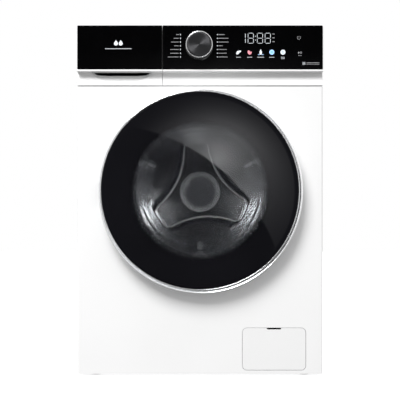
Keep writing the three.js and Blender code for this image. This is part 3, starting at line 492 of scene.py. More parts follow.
PANEL_LOW, PANEL_HIGH = node_mm("front_panel")
HALF = PANEL_HIGH.x
PANEL_TOP = PANEL_HIGH.z
PLINTH_GAP = PANEL_LOW.z
AXIS_Z = AXIS.z / MM
TOP = node_mm("top_cover")[1].z
BACK = node_mm("rear_panel")[1].y
DISH_RADIUS = 206
PORTHOLE = 187
HATCH_LOW, HATCH_HIGH = node_mm("filter_hatch")
HATCH_X = (HATCH_LOW.x + HATCH_HIGH.x) / 2
HATCH_Z = (HATCH_LOW.z + HATCH_HIGH.z) / 2
HATCH_SIZE = (HATCH_HIGH.x - HATCH_LOW.x, HATCH_HIGH.z - HATCH_LOW.z)
HATCH_CORNER = 11


def front_panel():
    corner, sheet, back = 4, 1.2, 16
    outside = [(-HALF, back), *arc(-HALF + corner, corner, corner, 180, 270), *arc(HALF - corner, corner, corner, 270, 360)]
    outside.append((HALF, back))
    inside = [(HALF - sheet, back), *arc(HALF - corner, corner, corner - sheet, 360, 270)]
    inside += [*arc(-HALF + corner, corner, corner - sheet, 270, 180), (-HALF + sheet, back)]
    skin = prism(outside + inside, "z", PLINTH_GAP, PANEL_TOP)
    hatch_hole = rounded_rectangle(HATCH_SIZE[0] + 1.7, HATCH_SIZE[1] + 1.7, HATCH_CORNER + 0.9, (HATCH_X, HATCH_Z), 10)
    bm = cut(
        skin,
        rod((0, AXIS_Z), DISH_RADIUS - 0.5, "y", -5, 6, 144),
        prism(hatch_hole, "y", -5, 6),
        block((213, 232), (-5, 6), (AXIS_Z - 13, AXIS_Z + 13)),
    )
    lip = rounded_rectangle(HATCH_SIZE[0] + 1.7, HATCH_SIZE[1] + 1.7, HATCH_CORNER + 0.9, (HATCH_X, HATCH_Z), 10)
    walls = [[bm.verts.new(place(x, depth, z)) for x, z in lip] for depth in (sheet - 0.05, 7)]
    for i in range(len(lip)):
        j = (i + 1) % len(lip)
        bm.faces.new((walls[0][i], walls[0][j], walls[1][j], walls[1][i]))
    dish = [(DISH_RADIUS + 0.5, 0), (DISH_RADIUS - 1, 0.3), (DISH_RADIUS - 2.2, 1.5), (DISH_RADIUS - 4.6, 6.5)]
    dish += [(DISH_RADIUS - 6.5, 8), (PORTHOLE + 2, 8), (PORTHOLE + 0.4, 8.6), (PORTHOLE, 10), (PORTHOLE, 20)]
    dish += [(PORTHOLE + 1.2, 20), (PORTHOLE + 1.2, 10.6), (DISH_RADIUS - 6, 9.2), (DISH_RADIUS - 3.4, 6.6)]
    dish += [(DISH_RADIUS - 0.8, 2), (DISH_RADIUS + 0.5, 1.2)]
    revolve(dish, bm=bm)
    for z in ((PLINTH_GAP, PLINTH_GAP + sheet), (PANEL_TOP - sheet, PANEL_TOP)):
        block((-HALF + corner, HALF - corner), (sheet / 2, back), z, bm)
    return piece("front_panel_sheet", bm, "cabinet", WHITE_PAINT, ["front_panel"], smooth_below=30)


def side_panel(side, sign):
    """A side sheet with folded edges, a shallow pressed field that stiffens it, and the spring's lug."""
    low, high = node_mm(f"{side}_side_panel")
    width, tall = 120, 96
    bm = bmesh.new()

    def pressed(u, v):
        """How far the field is pressed in at u along the depth and v up, both 0 to 1."""
        inset = min((u - 0.12) / 0.03, (0.88 - u) / 0.03, (v - 0.09) / 0.02, (0.91 - v) / 0.02)
        ramp = max(0.0, min(1.0, inset))
        return 1.4 * ramp * ramp * (3 - 2 * ramp)

    def height(v):
        return low.z + (high.z - low.z) * v

    grid = []
    for i in range(width + 1):
        u = i / width
        depth = low.y + (high.y - low.y) * u
        column = []
        for k in range(tall + 1):
            v = k / tall
            column.append(bm.verts.new(place(sign * (HALF - pressed(u, v)), depth, height(v))))
        grid.append(column)
    for a, b in zip(grid, grid[1:]):
        for k in range(tall):
            bm.faces.new((a[k], a[k + 1], b[k + 1], b[k]))
    solid = bmesh.ops.extrude_face_region(bm, geom=list(bm.faces))
    moved = [v for v in solid["geom"] if isinstance(v, bmesh.types.BMVert)]
    bmesh.ops.translate(bm, verts=moved, vec=(-sign * MM, 0, 0))
    flange = sorted((sign * (HALF - 0.5), sign * (HALF - 14)))
    block(flange, (low.y, low.y + 1), (low.z, 704), bm)
    block(flange, (high.y - 1, high.y), (low.z, high.z), bm)
    spring_x = abs(node_mm(f"spring_{side}")[0].x + node_mm(f"spring_{side}")[1].x) / 2
    spring_low, spring_high = node_mm(f"spring_{side}")
    middle = (spring_low.y + spring_high.y) / 2
    lug = sorted((sign * (spring_x - 9), sign * (HALF - 0.5)))
    block(lug, (middle - 12, middle + 12), (spring_high.z + 1, spring_high.z + 9), bm)
    return bm


def side_panels():
    for side, sign in (("left", -1), ("right", 1)):
        bm = side_panel(side, sign)
        step = sorted((sign * (HALF - 30), sign * (HALF + 3)))
        bm = cut(bm, block(step, (10, 22.5), (704, 900)))
        piece(f"{side}_side_sheet", bm, "cabinet", WHITE_PAINT, [f"{side}_side_panel"], edge=0.4, smooth_below=30)


def screw(x, z, depth, radius=4, bm=None):
    """A pan head with a cross recess, its face towards the back of the machine."""
    centre = Vector((x * MM, FRONT, z * MM))
    head = [(0, depth + 2.4), (radius * 0.5, depth + 2.2), (radius * 0.85, depth + 1.4), (radius, depth), (0, depth)]
    bm = revolve(head, centre, 20, closed=False, bm=bm)
    for a, b in ((0.55, 0.14), (0.14, 0.55)):
        block((x - radius * a, x + radius * a), (depth + 1.9, depth + 2.45), (z - radius * b, z + radius * b), bm)
    return bm


def rear_panel():
    low, high = node_mm("rear_panel")
    cover = 165
    bm = prism([(low.x, low.z), (high.x, low.z), (high.x, high.z), (low.x, high.z)], "y", low.y, high.y)
    stub_x, stub_z = -194, 770
    hose_x, hose_z = 262, 150
    vents = [
        prism(rounded_rectangle(5, 46, 2.4, (x, 640), 4), "y", low.y - 3, high.y + 3) for x in range(-240, -170, 12)
    ]
    bm = cut(
        bm,
        rod((0, AXIS_Z), cover, "y", low.y - 3, high.y + 3, 96),
        rod((stub_x, stub_z), 12, "y", low.y - 3, high.y + 3),
        rod((hose_x, hose_z), 12, "y", low.y - 3, high.y + 3),
        rod((-240, 110), 9, "y", low.y - 3, high.y + 3),
        *vents,
    )
    for z in (60, 220, 690):
        ribs = rounded_rectangle(360, 16, 7.9, (0, z), 6)
        inner = rounded_rectangle(350, 7, 3.4, (0, z), 6)
        faces = [[bm.verts.new(place(x, depth, zz)) for x, zz in outline] for outline, depth in ((ribs, high.y), (inner, high.y + 2.6))]
        for i in range(len(ribs)):
            j = (i + 1) % len(ribs)
            bm.faces.new((faces[0][i], faces[0][j], faces[1][j], faces[1][i]))
        bm.faces.new(faces[1])
    piece("rear_sheet", bm, "cabinet", GALVANISED, ["rear_panel"], smooth_below=30)


def rear_cover():
    low, high = node_mm("rear_access_cover")
    face, rim, seat = high.y, low.y + 1.5, low.y
    profile = [(0, face - 3), (34, face - 3), (40, face - 0.6), (52, face - 0.6), (58, face - 3), (96, face - 3)]
    profile += [(102, face - 0.6), (112, face - 0.6), (118, face - 3), (140, face - 3), (146, face), (152, face - 1)]
    profile += [(160, rim), (176, rim), (176, seat), (158, seat), (150, face - 3.2), (140, face - 4.6), (0, face - 4.6)]
    piece("rear_cover_pressing", revolve(profile, steps=120), "cabinet", GALVANISED, ["rear_access_cover"], edge=0.6)
    bm = bmesh.new()
    for turn in range(8):
        angle = math.radians(22.5 + 45 * turn)
        screw(168 * math.cos(angle), AXIS_Z + 168 * math.sin(angle), rim, bm=bm)
    for x in (-270, -90, 90, 270):
        for z in (22, 812):
            screw(x, z, BACK, bm=bm)
    for z in (200, 420, 640):
        for sign in (-1, 1):
            screw(sign * 285, z, BACK, bm=bm)
    piece("rear_screws", bm, "cabinet", STEEL)


def transit_plugs():
    """Round caps over the holes of the transport bolts."""
    bm = bmesh.new()
    for x, z in ((-215, 560), (215, 560), (-180, 262), (180, 262)):
        profile = [(0, BACK + 2.6), (9, BACK + 2.4), (13, BACK + 1.2), (14, BACK + 0.2), (0, BACK + 0.2)]
        revolve(profile, Vector((x * MM, FRONT, z * MM)), 40, closed=False, bm=bm)
    piece("transit_bolt_plugs", bm, "cabinet", WHITE_PLASTIC)


def top_cover():
    low, high = node_mm("top_cover")
    middle = (low.y + high.y) / 2
    rise = high.z - low.z
    levels = [(0, 4.5), (0.6, 4.5), (0.6, 5), (0, 5), (0, rise - 2.5), (0.7, rise - 0.8), (2.4, rise)]
    bm = bmesh.new()
    rings = []
    for inset, height in levels:
        outline = rounded_rectangle(high.x - low.x - 2 * inset, high.y - low.y - 2 * inset, 6 - min(inset, 4), (0, middle), 8)
        rings.append([bm.verts.new(place(x, depth, low.z + height)) for x, depth in outline])
    under = rounded_rectangle(high.x - low.x - 1, high.y - low.y - 1, 5.5, (0, middle), 8)
    rings.insert(0, [bm.verts.new(place(x, depth, low.z)) for x, depth in under])
    for a, b in zip(rings, rings[1:]):
        for i in range(len(a)):
            j = (i + 1) % len(a)
            bm.faces.new((a[i], a[j], b[j], b[i]))
    bm.faces.new(rings[0])
    bm.faces.new(rings[-1])
    piece("top_cover_board", bm, "cabinet", TOP_BOARD_PAINTED_SHADE, ["top_cover"], smooth_below=40)


def foot(code, name):
    """A levelling foot: ribbed rubber pad, hexagon, lock nut and threaded stem."""
    low, high = node_mm(name)
    x, depth = (low.x + high.x) / 2, (low.y + high.y) / 2

    def turned(profile, sides, bm):
        rings = [
            [
                bm.verts.new(place(x + r * math.cos(2 * math.pi * i / sides), depth + r * math.sin(2 * math.pi * i / sides), z))
                for i in range(sides)
            ]
            for r, z in profile
        ]
        for a, b in zip(rings, rings[1:]):
            for i in range(sides):
                j = (i + 1) % sides
                bm.faces.new((a[i], a[j], b[j], b[i]))
        bm.faces.new(rings[0])
        bm.faces.new(rings[-1])
        return bm

    radius = (high.x - low.x) / 2
    pad = [(radius - 2, 0), (radius - 0.8, 0.5)]
    for z in (1.2, 2.8, 4.4):
        pad += [(radius, z), (radius, z + 0.7), (radius - 0.9, z + 1), (radius - 0.9, z + 1.4)]
    pad += [(radius - 1, 7.4), (radius - 4, 9), (7, 9)]
    piece(f"{name}_pad", turned(pad, 48, bmesh.new()), f"foot_{code}", BLACK_RUBBER, [name], smooth_below=50)
    bm = turned([(7.6, 9.02), (8.6, 9.6), (8.6, 12.4), (7.6, 13)], 6, bmesh.new())
    thread = []
    for i in range(30):
        z = 13 + i
        thread += [(4.3, z), (5, z + 0.35), (5, z + 0.5)]
    turned([*thread, (4.3, 43.2), (3.6, 44)], 20, bm)
    piece(f"{name}_stem", bm, f"foot_{code}", STEEL, smooth_below=40)


# ---------------------------------------------------------------- control panel and drawer

HOUSING_LOW, HOUSING_HIGH = node_mm("control_housing")
FASCIA_LOW, FASCIA_HIGH = node_mm("control_fascia")
DRAWER_FASCIA_LOW, DRAWER_FASCIA_HIGH = node_mm("drawer_fascia")
DRAWER_LOW, DRAWER_HIGH = node_mm("drawer_front")
FASCIA_SEAT = FASCIA_HIGH.y + 0.3
LIP_BOTTOM = 738
LIP_FRONT = HOUSING_LOW.y


def cove(steps=14):
    """The shaded hollow under the fascia, from its lower edge to the lip, as (depth, z)."""
    start, middle, end = Vector((-2, HOUSING_LOW.z)), Vector((2.8, 722)), Vector((8, LIP_BOTTOM - 2))
    points = []
    for i in range(steps + 1):
        t = i / steps
        points.append(tuple(start * (1 - t) ** 2 + middle * 2 * t * (1 - t) + end * t * t))
    return points


def panel_profile(back):
    """The side view of the control panel, from its lower edge round the front to the top, as (depth, z)."""
    lip = FASCIA_LOW.y + 0.3
    profile = [(-1.2, HOUSING_LOW.z), *cove()[1:]]
    profile += arc(7, LIP_BOTTOM - 1.6, 1, 0, 60, 2)
    profile += [(lip + 1.4, LIP_BOTTOM), *arc(lip + 1.2, LIP_BOTTOM + 1.2, 1.2, 270, 180, 4)]
    profile += [(lip, FASCIA_LOW.z - 0.9), (lip + 0.3, FASCIA_LOW.z - 0.4), (FASCIA_SEAT, FASCIA_LOW.z - 0.3)]
    profile += [(FASCIA_SEAT, TOP - 5), *arc(FASCIA_SEAT + 5, TOP - 5, 5, 180, 90, 6)]
    profile += [(back, TOP), (back, HOUSING_LOW.z)]
    return profile


def control_housing():
    left, right, back = HOUSING_LOW.x, HOUSING_HIGH.x, HOUSING_HIGH.y
    split = FASCIA_LOW.x
    bm = prism(panel_profile(back), "x", split, right)
    shaft = rod((KNOB.x / MM, KNOB.z / MM), 3.8, "y", -20, 30)
    room = block((split + 3, right - 3), (-8, back + 1), (746, TOP - 4))
    lower = block((split + 3, right - 3), (11, back + 1), (HOUSING_LOW.z + 3, 747))
    bm = cut(bm, room, lower, shaft)
    tray_low, tray_high = node_mm("drawer_tray")
    behind = block((left, split - 0.2), (13.3, back), (HOUSING_LOW.z, TOP - 0.5))
    opening = block((tray_low.x - 3, tray_high.x + 3), (5, 30), (tray_low.z - 3, tray_high.z + 3))
    behind = cut(behind, opening)
    extra = to_mesh("behind_drawer", behind)
    bm.from_mesh(extra)
    piece("control_panel_housing", bm, "cabinet", WHITE_PLASTIC, ["control_housing"], edge=0.5, smooth_below=32)


GRIP_X = -190
GRIP_HALF = 73


def grip_depth(x, z):
    """How much deeper than the cove the drawer's finger scoop is."""
    across = abs(x - GRIP_X) / GRIP_HALF
    if across >= 1:
        return 0.0
    bottom = LIP_BOTTOM - 3 - 22 * (1 - across**2.6) ** 0.8
    rise = (z - bottom) / (LIP_BOTTOM - 2 - bottom)
    if rise <= 0:
        return 0.0
    side = min(1.0, (1 - across) * 6)
    return 6.5 * min(1.0, rise) ** 0.7 * side


def drawer_front():
    """The drawer's face: the cove with a finger scoop that runs up into a pocket behind the lip."""
    left, right, back = DRAWER_LOW.x, DRAWER_HIGH.x, DRAWER_HIGH.y
    profile = [(-1.2, DRAWER_LOW.z), *cove(44)[1:], *panel_profile(back)[15:]]
    columns = 150
    bm = bmesh.new()
    rings = []
    for i in range(columns + 1):
        x = left + (right - left) * i / columns
        ring = []
        for depth, z in profile:
            hollow = grip_depth(x, z) if z <= LIP_BOTTOM and -2 <= depth <= 9 else 0.0
            ring.append(bm.verts.new(place(x, min(depth + hollow, back - 2), z)))
        rings.append(ring)
    for a, b in zip(rings, rings[1:]):
        for k in range(len(profile)):
            m = (k + 1) % len(profile)
            bm.faces.new((a[k], a[m], b[m], b[k]))
    bm.faces.new(rings[0])
    bm.faces.new(rings[-1])
    pocket = [(-9, LIP_BOTTOM - 0.6), (-9, 752), (-7.5, 753.5), (back - 2.4, 753.5), (back - 2.4, LIP_BOTTOM - 1.6), (5, LIP_BOTTOM - 1.6)]
    bm = cut(bm, prism(pocket, "x", GRIP_X - GRIP_HALF, GRIP_X + GRIP_HALF))
    piece("drawer_front_moulding", bm, "drawer", WHITE_PLASTIC, ["drawer_front"], smooth_below=40)


def gloss_plate(name, node, body, low, high):
    """A gloss plate with fine rounded edges over the front of the panel."""
    outline = rounded_rectangle(high.x - low.x, high.z - low.z, 1.5, ((low.x + high.x) / 2, (low.z + high.z) / 2), 5)
    bm = prism(outline, "y", low.y, high.y)
    if node == "control_fascia":
        bm = cut(bm, rod((KNOB.x / MM, KNOB.z / MM), 3.8, "y", low.y - 3, high.y + 3))
    piece(name, bm, body, BLACK_GLOSS, [node], edge=0.45, segments=3)


def fascias():
    gloss_plate("control_fascia_plate", "control_fascia", "cabinet", FASCIA_LOW, FASCIA_HIGH)
    gloss_plate("drawer_fascia_plate", "drawer_fascia", "drawer", DRAWER_FASCIA_LOW, DRAWER_FASCIA_HIGH)


PRINT = (FASCIA_LOW.y - 0.08, FASCIA_LOW.y + 0.05)  # front and back of a printed mark


def marks(name, outlines, material, body="cabinet"):
    """Printed or lit marks: thin plates on the fascia, one for each outline of (x, z) points."""
    bm = bmesh.new()
    for outline in outlines:
        prism(outline, "y", *PRINT, bm)
    return piece(name, bm, body, material)


def bar(x, z, width, height):
    return [(x, z - height / 2), (x + width, z - height / 2), (x + width, z + height / 2), (x, z + height / 2)]


def disc(x, z, radius, steps=24):
    return arc(x, z, radius, 0, 360 - 360 / steps, steps - 1)


def band(x, z, radius, width, start=0, end=360, steps=28):
    """A ring or part of one, as an outline."""
    outer = arc(x, z, radius, start, end, steps)
    return outer + arc(x, z, radius - width, end, start, steps)


def segment(x, z, length, upright, thick=0.85):
    """One stroke of a seven segment digit, with pointed ends."""
    half, tip = length / 2, thick / 2
    points = [(-half, 0), (-half + tip, tip), (half - tip, tip), (half, 0), (half - tip, -tip), (-half + tip, -tip)]
    return [(x + b, z + a) if upright else (x + a, z + b) for a, b in points]


def digit(x, z, strokes, width=13.0, height=24.4):
    """Seven segment strokes, named a to g, of a digit whose middle is x, z."""
    half, quarter = width / 2, height / 4
    spots = {
        "a": (0, height / 2, width - 2.6, False),
        "g": (0, 0, width - 2.6, False),
        "d": (0, -height / 2, width - 2.6, False),
        "b": (half, quarter, height / 2 - 2.2, True),
        "c": (half, -quarter, height / 2 - 2.2, True),
        "e": (-half, -quarter, height / 2 - 2.2, True),
        "f": (-half, quarter, height / 2 - 2.2, True),
    }
    return [segment(x + spots[s][0], z + spots[s][1], *spots[s][2:]) for s in strokes]


def caption(x, z, width, height=1.5, align="left"):
    """A greyed line of unreadable words: short dashes of uneven length."""
    dashes, at = [], 0.0
    while at < width:
        dash = min(RANDOM.uniform(1.6, 4.2), width - at)
        dashes.append((at, dash))
        at += dash + 0.5
    start = x if align == "left" else x - width
    if align == "middle":
        start = x - width / 2
    return [bar(start + a, z + RANDOM.uniform(-0.1, 0.1), w, height) for a, w in dashes]


def display():
    middle = FASCIA_HIGH.z - 30.9
    strokes = digit(103.0, middle, "bc")
    for x in (122.4, 144.6, 163.4):
        strokes += digit(x, middle, "abcdefg")
    strokes += [disc(133.5, middle + 4.5, 0.9, 12), disc(133.5, middle - 4.5, 0.9, 12)]
    marks("display_digits", strokes, LIT_WHITE)
    small = []
    for row in range(3):
        small += caption(174.8, middle + 10.2 - 9.2 * row, 5, 2.0)
    marks("display_indicators", small, PRINT_GREY)


def programme_marks():
    rows = [FASCIA_HIGH.z - 22.1 - 9.0 * i for i in range(7)]
    left_widths = [6, 12, 18, 11, 20.5, 20.5, 26.5]
    right_widths = [14.5, 24, 24, 10, 19.5, 19.5, 22]
    lamps = [bar(-48.1, z, 1.9, 3.6) for z in rows] + [disc(42.0, z, 1.3, 14) for z in rows]
    marks("programme_lamps", lamps, LIT_DIM)
    words = []
    for z, left, right in zip(rows, left_widths, right_widths):
        words += caption(-51.2, z, left, 1.6, "right")
        words += caption(44.6, z, right, 1.6)
    marks("programme_captions", words, PRINT_GREY)


def leaf(x, z, size, lean):
    """A pointed leaf, leaning by some degrees."""
    right = arc(0, 0, size, -60, 60, 8)
    shape = [(px - size / 2, pz) for px, pz in right] + [(-(px - size / 2), -pz) for px, pz in right[1:-1]]
    c, s = math.cos(math.radians(lean)), math.sin(math.radians(lean))
    return [(x + px * c - pz * s, z + px * s + pz * c) for px, pz in shape]


def option_icons():
    z, step = 784.3, 26.8
    xs = [92.8 + step * i for i in range(5)]
    marks("option_leaf", [leaf(xs[0] - 1.5, z - 1, 6.6, -38), leaf(xs[0] + 3, z + 1.6, 4.4, -62)], LIT_WHITE)
    flame = [leaf(xs[1] - 1.5, z - 0.6, 6.4, 18), leaf(xs[1] + 2.6, z - 1.8, 4.6, -22)]
    marks("option_flame", flame, LIT_RED)
    bottle = [(-2.6, -5.6), (2.6, -5.6), (3, 1.4), (1.3, 3.6), (1.1, 6.4), (-1.1, 6.4), (-1.3, 3.6), (-3, 1.4)]
    marks("option_bottle", [[(xs[2] + a, z + b) for a, b in bottle]], LIT_WHITE)
    waves = [bar(xs[2] - 6.5, z - 5.8, 3.4, 1.2), bar(xs[2] + 3.1, z - 5.8, 3.4, 1.2)]
    marks("option_spin", [band(xs[3], z, 6, 2.6), disc(xs[3], z, 2.2), *waves], LIT_BLUE)
    clock = [band(xs[4], z, 6, 1.6), bar(xs[4] - 0.8, z, 1.6, 7), bar(xs[4] - 2.4, z - 2.4, 4.8, 1.5)]
    ring_fill = [band(xs[4], z, 4.5, 2.2)]
    marks("option_clock", clock + ring_fill, LIT_WHITE)
    words = []
    for x, width in zip(xs, (11, 12, 16, 12, 9)):
        words += caption(x, z - 12.2, width, 1.4, "middle")
    words += caption(xs[4], z - 15.4, 8, 1.2, "middle")
    marks("option_captions", words, LIT_DIM)


def touch_keys():
    power = [band(238.5, 819.4, 4.4, 0.8, 125, 415), bar(238.1, 821.6, 0.8, 4)]
    start = [[(236.6, 786), (236.6, 780.2), (241, 783.1)], bar(242.2, 783.1, 1, 5.4), bar(244.4, 783.1, 1, 5.4)]
    marks("touch_key_symbols", power + start, PRINT_GREY)
    marks("touch_key_caption", caption(240.9, 776.2, 8, 1.1, "middle"), PRINT_GREY)


def motor_badge():
    """A plain square of dots beside two greyed lines, low on the right."""
    x, z = 250.5, 757.2
    dots = [disc(x - 2.6 + 1.75 * i, z - 2.6 + 1.75 * k, 0.72, 10) for i in range(4) for k in range(4)]
    marks("badge_dots", dots, LIT_DIM)
    words = caption(x + 6.5, z + 1.4, 31, 1.8) + caption(x + 6.5, z - 2.4, 31, 0.9)
    marks("badge_captions", words, PRINT_GREY)


def drawer_mark():
    """A generic mark of two water drops over a greyed line, on the drawer."""
    x, z = -197, 806.3

    def drop(cx, size):
        round_part = arc(cx, z - size * 0.25, size, 150, 390, 16)
        return [*round_part, (cx, z + size * 1.5)]

    marks("drawer_mark", [drop(x - 5.7, 4.8), drop(x + 5.7, 4.8)], LIT_WHITE, "drawer")
    marks("drawer_mark_caption", caption(x, z - 13.6, 64, 1.8, "middle"), LIT_DIM, "drawer")


def knob():
    low, high = node_mm("programme_knob")
    cap_front = node_mm("knob_cap")[0].y
    base, radius = high.y, 32
    seat = FASCIA_LOW.y
    profile = [(0, seat - 0.3), (radius + 0.7, seat - 0.3), (radius + 1, seat - 0.7), (radius + 1, seat - 2.6)]
    profile += [(radius + 0.7, seat - 3.2), (radius + 0.1, seat - 4)]
    profile += [(radius, seat - 6), (radius, low.y + 2.0), *arc(radius - 1.4, low.y + 1.6, 1.4, 0, -90, 5)]
    profile += [(radius - 1.9, low.y + 0.3), (radius - 2.2, low.y + 2.6), (0, low.y + 2.6)]
    bm = revolve(profile, KNOB, 128)
    rod((KNOB.x / MM, KNOB.z / MM), 3, "y", seat - 1, base, 24, bm)
    piece("knob_ring", bm, "knob", BRIGHT_TRIM, ["programme_knob"])
    face = [(0, cap_front + 0.25), (10, cap_front + 0.25), (24, cap_front + 0.1), (27.5, cap_front), (29.1, cap_front + 0.3)]
    face += [(29.5, cap_front + 0.9), (29.5, cap_front + 2.4), (0, cap_front + 2.4)]
    piece("knob_face", revolve(face, KNOB, 128), "knob", SPUN_METAL, ["knob_cap"], smooth_below=50)


# ---------------------------------------------------------------- door

RING_LOW, RING_HIGH = node_mm("door_trim_ring")
RING = Vector(((RING_LOW.x + RING_HIGH.x) / 2, 0, (RING_LOW.z + RING_HIGH.z) / 2)) * MM + Vector((0, FRONT, 0))
RING_RADIUS = (RING_HIGH.x - RING_LOW.x) / 2
GLASS_LOW, GLASS_HIGH = node_mm("door_outer_glass")
GLASS_RADIUS = (GLASS_HIGH.x - GLASS_LOW.x) / 2
BOWL_LOW, BOWL_HIGH = node_mm("door_bowl")


def hinge_pocket(left=-242):
    """The space the door leaves round the hinge bracket."""
    return block((left, -187), (-28.4, 3), (AXIS_Z - 31, AXIS_Z + 31))


def door_ring():
    """The bright ring: a thin lip at the glass, a groove that widens to the lower right, and a round bead."""
    front, back = RING_LOW.y, RING_HIGH.y
    bead_width = 4.4
    skirt = [(RING_RADIUS - 7.6, -27), (RING_RADIUS - 9.5, back), (RING_RADIUS - 9, back), (RING_RADIUS, -14)]
    crown = [(0, 2.2), (0.15, 1.4), (0.7, 0.8), (bead_width / 2 - 0.35, 0.06), (bead_width / 2, 0)]
    crown += [(bead_width - x, drop) for x, drop in reversed(crown[:-1])]
    crown = [(RING_RADIUS - x, front + drop) for x, drop in crown]
    outer = revolve([*skirt, (RING_RADIUS, front + 4), *crown, (RING_RADIUS - bead_width, front + 7), (RING_RADIUS - 7.4, -29)], RING, 180)
    piece("door_ring_bead", cut(outer, hinge_pocket(-250)), "door", BRIGHT_TRIM, ["door_trim_ring"], smooth_below=40)
    edge = GLASS_RADIUS + 0.35
    lip = [(edge, -30.1), (edge, front + 1.2), *arc(edge + 0.75, front + 0.9, 0.75, 180, 360, 6), (edge + 1.5, front + 6.2)]
    lip += [(RING_RADIUS - 2.4, front + 6.6), (RING_RADIUS - 2.4, front + 7.2), (GLASS_RADIUS - 3, front + 7.2), (GLASS_RADIUS - 3, -30.1)]
    piece("door_ring_lip", cut(revolve(lip, steps=180), hinge_pocket()), "door", BRIGHT_TRIM, smooth_below=40)


def door_glass():
    dome = 9735  # radius of the glass's gentle dome
    edge = 1.2
    face = [(r, GLASS_LOW.y + r * r / (2 * dome)) for r in (0, 30, 60, 90, 120, 150, 180, 205, 225, GLASS_RADIUS - edge)]
    rim = face[-1][1]
    profile = [*face, *arc(GLASS_RADIUS - edge, rim + edge, edge, -90, 0, 5)[1:]]
    profile += [(GLASS_RADIUS, GLASS_HIGH.y), (0, GLASS_HIGH.y)]
    piece("door_glass", revolve(profile, steps=180), "door", SMOKED_GLASS, ["door_outer_glass"], smooth_below=60)


def door_bowl():
    outer = curve_through([(172.6, -6.8), (170, 5), (167, 20), (160, 50), (153, 75), (145, 88), (132, 95), (110, 97)], 4)
    inner = curve_through([(100, 91.6), (128, 90), (146, 76), (155, 50), (160.5, 20), (165.5, -10)], 5)
    profile = [(0, BOWL_HIGH.y), (60, BOWL_HIGH.y), *reversed(outer)]
    profile += [(188, -6.8), (188, -10), *reversed(inner), (0, 92)]
    piece("door_bowl_glass", revolve(profile, steps=180), "door", CLEAR_GLASS, ["door_bowl"], smooth_below=50)


def door_inner_frame():
    low, high = node_mm("door_inner_frame")
    radius = high.x
    front, floor, back = low.y, -6.5, high.y
    profile = [(173.2, back), (173.2, floor), (192, floor), (192, front), (194, front), (194, floor), (230, floor)]
    profile += [(230, front), (radius, front), (radius, back + 0.0), (222, back), (220.5, back - 0.9), (198, back - 0.9)]
    profile += [(196.5, back), (176, back)]
    bm = revolve(profile, steps=144)
    slot = block((213, 228), (-12, 4), (AXIS_Z - 7, AXIS_Z + 7))
    bm = cut(bm, hinge_pocket(), slot)
    latch_z = AXIS_Z
    for sign in (-1, 1):
        ear = sorted((latch_z + sign * 8, latch_z + sign * 11))
        block((214.5, 226.5), (-22, -6), ear, bm)
    piece("door_back_frame", bm, "door", WHITE_PLASTIC, ["door_inner_frame"], edge=0.6)
    bm = bmesh.new()
    for turn in range(10):
        angle = math.radians(18 + 36 * turn)
        screw(209 * math.cos(angle), AXIS_Z + 209 * math.sin(angle), back - 2.2, 3.4, bm)
    piece("door_screws", bm, "door", STEEL)


def door_gasket():
    """A folded rubber bellows between the porthole and the tub's neck."""
    fold = [(186.4, 4.8), (188, 12), (188.2, 22), (196, 26), (204.5, 30), (206, 38), (203, 44), (198, 49), (196.4, 56), (196, 68.5)]
    outer = curve_through(fold, 5)
    inside = [(191.8, 68.5), (192.4, 56), (195, 47), (201, 42), (202.6, 37), (200, 32.5), (192, 28.6), (183.5, 25), (181, 20)]
    inside += [(178, 12.5), (174, 9.4), (172.6, 7.2), (173.2, 5.2), (175.4, 4.7)]
    inner = curve_through(inside, 4)
    bm = revolve(outer + inner, steps=144)
    ends = (place(0, 24, AXIS_Z), place(0, 54, AXIS_Z))
    piece("door_gasket_bellows", bm, ("cabinet", "tub", *ends), GREY_RUBBER, ["door_gasket"], smooth_below=60)


# ---------------------------------------------------------------- drum

DRUM_LOW, DRUM_HIGH = node_mm("drum_shell")
DRUM_RADIUS = DRUM_HIGH.x
DRUM_MOUTH = 185
PADDLE_ANGLES = (30, 150, 270)
HUB_RADIUS = 54
BAY_CENTRE, BAY_RADIUS = 307, 236  # the star's hollow sides are arcs of this radius
BAY_DEPTH = 13
BAY_ANGLES = (35, 155, 275)


def star_hollow(x, z):
    """How deep the rear wall lies behind the star's face, at x and z from the axis."""
    deepest = 0.0
    for angle in BAY_ANGLES:
        a = math.radians(angle)
        inside = BAY_RADIUS - math.hypot(x - BAY_CENTRE * math.cos(a), z - BAY_CENTRE * math.sin(a))
        ramp = max(0.0, min(1.0, inside / 17))
        deepest = max(deepest, ramp * ramp * (3 - 2 * ramp))
    rim = max(0.0, min(1.0, (math.hypot(x, z) - 152) / 14))
    return BAY_DEPTH * max(deepest, rim * rim * (3 - 2 * rim))


def drum_back():
    """The drum's rear wall: a raised three-pointed star between three hollow bays, and a round hub."""
    wall = DRUM_HIGH.y - 1.4
    steps = 240
    bm = bmesh.new()
    radii = [HUB_RADIUS + 3 + i * 2.0 for i in range(64)] + [192, 205, 220, 236, 243.5]
    rings = []
    for radius in radii:
        ring = []
        for i in range(steps):
            a = 2 * math.pi * i / steps
            x, z = radius * math.cos(a), radius * math.sin(a)
            ring.append(bm.verts.new(AXIS + Vector((x, wall - BAY_DEPTH + star_hollow(x, z), z)) * MM))
        rings.append(ring)
    for a, b in zip(rings, rings[1:]):
        for i in range(steps):
            j = (i + 1) % steps
            bm.faces.new((a[i], a[j], b[j], b[i]))
    return bm


